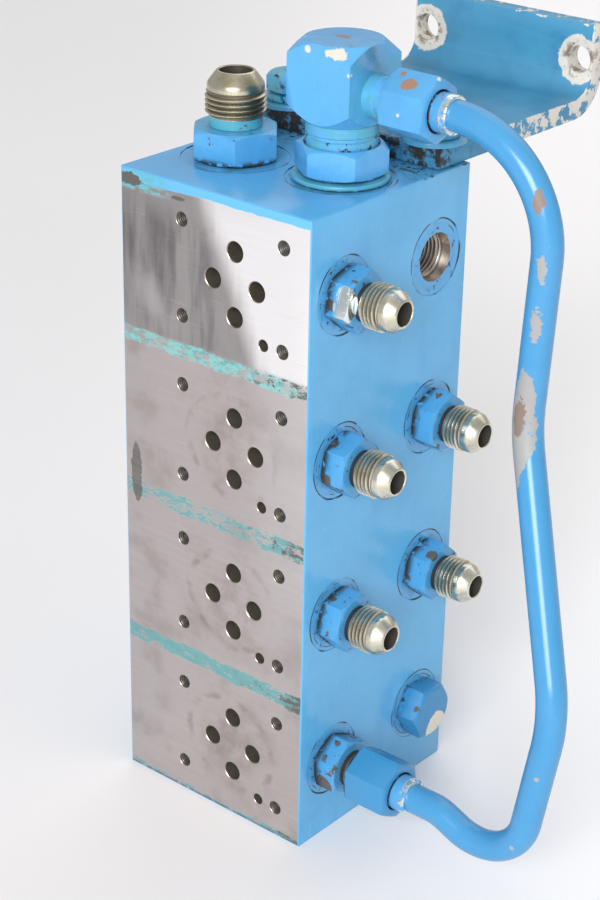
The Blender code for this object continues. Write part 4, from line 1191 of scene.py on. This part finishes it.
# Each row ends with the nut's share of painted shade; the lower nut lies in shadow.
for name, turn, y, z, seed, wear, painted_shade in (("upper", 29, ELBOW_Y, OUTLET, 60.0, upper_nut_wear, 0.3),
                                           ("lower", 30.6, -COLUMN, LOWEST, 70.0, lower_nut_wear, 0.9)):
    place = beside(y, z)
    start, end = span(f"{name}_tube_nut", 0)
    nut = hexagon(f"{name}_nut", SMALL_HEX, start, end, turn, (0.98, 0.93), 27)
    hollow = lathe("hollow", outline_at(start, [(0, -1), (8.2, -1), (7.45, 0.5)]) + outline_at(end, [
        (7.45, -2.2), (6.35, -1), (6.35, -0.4), (7.2, 1), (0, 1)]), 64)
    soften(combine(nut, hollow, "DIFFERENCE"), 0.3 * MM)
    start, end = start / MM, end / MM
    chips, dirt = wear(start, end, y / MM, z / MM)
    coat(nut, painted(f"{name}_nut_paint", seed, dirt, None, chips, painted_shade=painted_shade))
    stand_in(put(nut, place), f"{name}_tube_nut", body=f"{name}_nut")

    sleeve_start, sleeve_end = span(f"{name}_tube_sleeve", 0)
    inner = TUBE_RADIUS / MM + 0.02
    ring = (outline_at(sleeve_start, [(inner, 0.6), (6.9, 0.6), (6.9, 1.3), (5.9, 2.2)])
            + outline_at(sleeve_end, [(5.9, 0), (inner, 0)]) + outline_at(sleeve_start, [(inner, 0.6)]))
    sleeve = smooth(lathe(f"{name}_sleeve", rounded(ring, 4, 0.7 * MM), 56), 30)
    worn = both(along("x", sleeve_end / MM - 2.6, sleeve_end / MM - 2.0), specks(3, 0.42, 0.5, seed))
    dirt = both(along("x", end + 0.5, end + 0.1), specks(2, 0.3, 0.45, 1))
    # The sleeves' paint takes half the painted shade.
    coat(sleeve, painted(f"{name}_sleeve_paint", seed + 4, dirt, None,
                         [(RUST, specks(2.4, 0.6, 0.63, seed))], worn, 0.5))
    stand_in(put(sleeve, place), f"{name}_tube_sleeve")

# %% [markdown]
# ## The hanging bracket
#
# A strip of thick plate bent up at its end. It starts as a flat box; its end face is spun round
# the bend's axis through 90 degrees and then pulled up to make the flange.

# %% Bracket plate
plate_low, plate_high = (Vector(corner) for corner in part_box("mounting_bracket"))
PLATE, BEND = 6.35 * MM, 8.0 * MM
flat_end = plate_high.y - PLATE - BEND
bend_height = plate_low.z + PLATE + BEND
bracket = box("bracket", (0, (plate_low.y + flat_end) / 2, plate_low.z + PLATE / 2),
              (plate_high.x - plate_low.x, flat_end - plate_low.y, PLATE))
edit(bracket)
pick("FACE", lambda at, normal: normal.y > 0.9)
bpy.ops.mesh.spin(steps=12, angle=-pi / 2, axis=(1, 0, 0), center=(0, flat_end, bend_height))
pick("FACE", lambda at, normal: normal.z > 0.9 and at.y > flat_end + BEND * 0.5)
bpy.ops.mesh.extrude_region_move(TRANSFORM_OT_translate={"value": (0, 0, plate_high.z - bend_height)})
bpy.ops.mesh.select_all(action="SELECT")
tidy_mesh()
leave()
HANG_X, HANG_Z = 31.2 * MM, 234.0 * MM
hang_hole = lathe("hang_hole", outline_at(0, [(0, -20), (4.6, -20), (4.6, 20), (0, 20)]), 48)
bolt_hole = lathe("bolt_hole", outline_at(0, [(0, -2), (4.9, -2), (4.9, 20), (0, 20)]), 48)
holes = join(
    repeat(hang_hole, [Matrix.Translation((x, plate_high.y, HANG_Z)) @ INTO_FRONT for x in (-HANG_X, HANG_X)]),
    repeat(bolt_hole, [above(node, TOP) for node in BOLTS]))
soften(combine(bracket, holes, "DIFFERENCE"), 0.5 * MM, 35, 2)
print("bracket:", len(bracket.data.polygons), "faces")

# %% Bracket finish


def bracket_paint():
    finish = Finish("bracket_teal_paint")
    clouds = finish.noise(20, 3, 0.55, (4, 0, 0))
    colour = finish.mix((0.052, 0.25, 0.43), (0.036, 0.19, 0.34), clouds.fade(0.35, 0.7))
    flange = finish.y.fade(100, 106)
    colour = finish.mix(colour, (0.055, 0.26, 0.43), flange * finish.noise(14, 3, 0.6).fade(0.3, 0.65))
    wear = finish.noise(3.2, 4, 0.7, (1, 2, 3))
    half = (plate_high.x - plate_low.x) / 2 / MM
    top_edge = finish.z.fade(plate_high.z / MM - 1.6, plate_high.z / MM - 0.2)
    side_edge = finish.x.size().fade(half - 1.2, half - 0.2)
    low_edge = finish.z.fade(plate_low.z / MM + 1.2, plate_low.z / MM + 0.2) * flange
    edges = top_edge.most(side_edge * finish.y.fade(40, 60) * 1.25).most(low_edge * 0.8)
    loose = finish.noise(7.0, 4, 0.7, (6, 2, 3))
    worn = edges * 0.55 + (wear - 0.5) * 0.9 + (loose - 0.5) * 1.9
    chipped = worn.fade(0.60, 0.66) * edges.fade(0, 0.2)
    chipped = chipped.most(flange * (loose * 0.6 + wear * 0.6).fade(0.78, 0.81))
    hole = finish.distance(finish.x.size() - HANG_X / MM, finish.z - HANG_Z / MM)
    chipped = chipped.most((hole + (wear - 0.5) * 3.4).fade(8.4, 7.8) * flange)
    primer = finish.mix(PRIMER, (0.56, 0.56, 0.54), finish.noise(5, 3, 0.6, (8, 0, 0)))
    colour = finish.mix(colour, primer, chipped)
    brown = hole.fade(7.4, 5.0) * wear.fade(0.46, 0.6) * flange
    colour = finish.mix(colour, (0.16, 0.11, 0.075), brown * 0.9)
    dirt = finish.y.fade(46, 30) * finish.noise(6.0, 5, 0.7, (0, 3, 0)).fade(0.5, 0.62) * 0.9
    dirt = dirt.most(finish.noise(1.2, 3, 0.8, (5, 0, 0)).fade(0.73, 0.75) * 0.7)
    dirt = dirt.most(finish.y.fade(27, 24.3) * finish.noise(4.5, 4, 0.7, (0, 0, 5)).fade(0.4, 0.52))
    colour = finish.mix(colour, GRIME, dirt)
    rough = 0.4 + wear * 0.1 + chipped * 0.25 + dirt * 0.25
    return finish.end(colour, rough, 0.0, orange_peel(finish, chipped.most(dirt * 0.5), 0.4))


stand_in(coat(bracket, bracket_paint()), "mounting_bracket")

# %% [markdown]
# ## Bolts and washers
#
# Each bolt has a turned washer face under its hexagon. The split washer is a ring cut through
# aslant, so its two ends lie a little way past each other.

# %% Bolts
for side, seed in (("left", 80.0), ("right", 86.0)):
    place = above(f"{side}_bolt", 0)
    lock_low, lock_high = span(f"{side}_lock_washer", 2)
    head_low, head_high = lock_high + 0.3 * MM, span(f"{side}_bolt", 2)[1]
    head = hexagon(f"{side}_hex_bolt", 14.3 * MM, head_low + 0.4 * MM, head_high, 20, (2, 0.92))
    shank = lathe("shank", outline_at(TOP, [(0, -14), (4.1, -14), (4.6, -13)]) + outline_at(head_low, [
        (4.6, 0), (6.7, 0), (6.7, 0.6), (0, 0.6)]), 56)
    join(soften(head, 0.2 * MM), smooth(shank))
    flat = rounded(ring_outline(4.9, 10.3, *span(f"{side}_flat_washer", 2)), 2, 0.4 * MM)
    flat_washer = smooth(lathe(f"{side}_plain_washer", flat, 64), 40)
    split = lathe(f"{side}_split_washer", ring_outline(4.9, 8.1, lock_low, lock_high - 0.2 * MM), 72)
    slit = box("slit", (6.5 * MM, 0, (lock_low + lock_high) / 2), (8 * MM, 0.9 * MM, 12 * MM), (0.5, 0, 0))
    soften(combine(split, slit, "DIFFERENCE"), 0.2 * MM)
    dirt = either(specks(3.2, 0.6, 0.68, seed), specks(1.0, 0.72, 0.75))
    bolt_paint = painted(f"{side}_bolt_paint", seed, dirt, specks(4, 0.35, 0.6, 3),
                         [(DARK_STEEL, specks(3.4, 0.66, 0.69, seed + 2))])
    turned = place @ Matrix.Rotation(radians(-70), 4, "Z")
    stand_in(put(coat(head, bolt_paint), place), f"{side}_bolt")
    stand_in(put(coat(flat_washer, bolt_paint), place), f"{side}_flat_washer")
    stand_in(put(coat(split, bolt_paint), turned), f"{side}_lock_washer")

# %% [markdown]
# ## What stays from the working model
#
# The seals and the two plugs under the block already have the right shape, so they keep their
# meshes and get a better material: matt rubber with a faint bloom, and plated steel.

# %% Kept pieces


def rubber():
    finish = Finish("seal_rubber")
    bloom = finish.noise(1.5, 3, 0.6)
    colour = finish.mix((0.012, 0.012, 0.012), (0.05, 0.048, 0.045), bloom.fade(0.5, 0.8))
    return finish.end(colour, 0.5 + bloom * 0.25, 0.0, finish.bump(bloom, 0.2, 0.05))


SEAL = rubber()
for name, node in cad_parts.items():
    if "oring" in name or "gallery_plug" in name:
        coat(node, SEAL if "oring" in name else OLIVE_ZINC)

# %% [markdown]
# ## Floor, light and camera
#
# The object stands on a pale seamless floor whose colour is painted brighter to the right, as
# painted light. A large soft light comes low from the front, so the faces that look forwards are
# brighter than those that look right, and the tops are the dimmest. The camera looks down a little
# from the front right with a long lens.

# %% Stage
fresh()
bpy.ops.mesh.primitive_plane_add(size=6, location=(0, 0, 0))
floor = named("floor")
paper = Finish("pale_floor")
to_right = paper.x * cos(radians(40)) + paper.y * sin(radians(40))
pale = paper.mix((0.745, 0.73, 0.735), (0.785, 0.77, 0.775), paper.noise(240, 2, 0.5))
# Painted light: the floor's colour grows brighter to the right.
coat(floor, paper.end(paper.mix(pale, (0.93, 0.91, 0.905), to_right.fade(-140, 200)), 0.7, 0.0))

world = bpy.context.scene.world or bpy.data.worlds.new("studio")
bpy.context.scene.world = world
world.use_nodes = True
backdrop = world.node_tree.nodes["Background"]
backdrop.inputs["Color"].default_value = (0.93, 0.935, 0.95, 1)
backdrop.inputs["Strength"].default_value = 0.55
bpy.context.scene.view_settings.view_transform = "Standard"


def direction(azimuth, elevation):
    """From the object towards a viewer: degrees round from the front and up."""
    azimuth, elevation = radians(azimuth), radians(elevation)
    return Vector((sin(azimuth) * cos(elevation), -cos(azimuth) * cos(elevation), sin(elevation)))


def soft_light(name, power, size, azimuth, elevation, distance, aim=(0, 0, 0.12)):
    """A square area light that looks at the aim from a direction round it."""
    fresh()
    bpy.ops.object.light_add(type="AREA")
    light = bpy.context.object
    light.name = name
    light.data.energy = power
    light.data.size = size
    back = direction(azimuth, elevation)
    light.location = Vector(aim) + back * distance
    light.rotation_euler = back.to_track_quat("Z", "Y").to_euler()


soft_light("key", 98, 1.5, 27, 24, 3.0)
soft_light("overhead", 6, 3.0, 10, 85, 3.2)
soft_light("backdrop", 19, 2.6, 154, 89, 1.7, (-0.5, 1.8, 0))

# %% Camera
AZIMUTH, ELEVATION, ROLL = 39.837, 25.363, radians(1.157)
back = direction(AZIMUTH, ELEVATION)
right = Vector((cos(radians(AZIMUTH)), sin(radians(AZIMUTH)), 0))
up = back.cross(right)
axes = Matrix((right * cos(ROLL) + up * sin(ROLL), up * cos(ROLL) - right * sin(ROLL), back))
fresh()
bpy.ops.object.camera_add()
camera = bpy.context.object
camera.data.lens = 83.36
camera.matrix_world = Matrix.Translation((0.39620, -0.47060, 0.41023)) @ axes.transposed().to_4x4()
bpy.context.scene.camera = camera
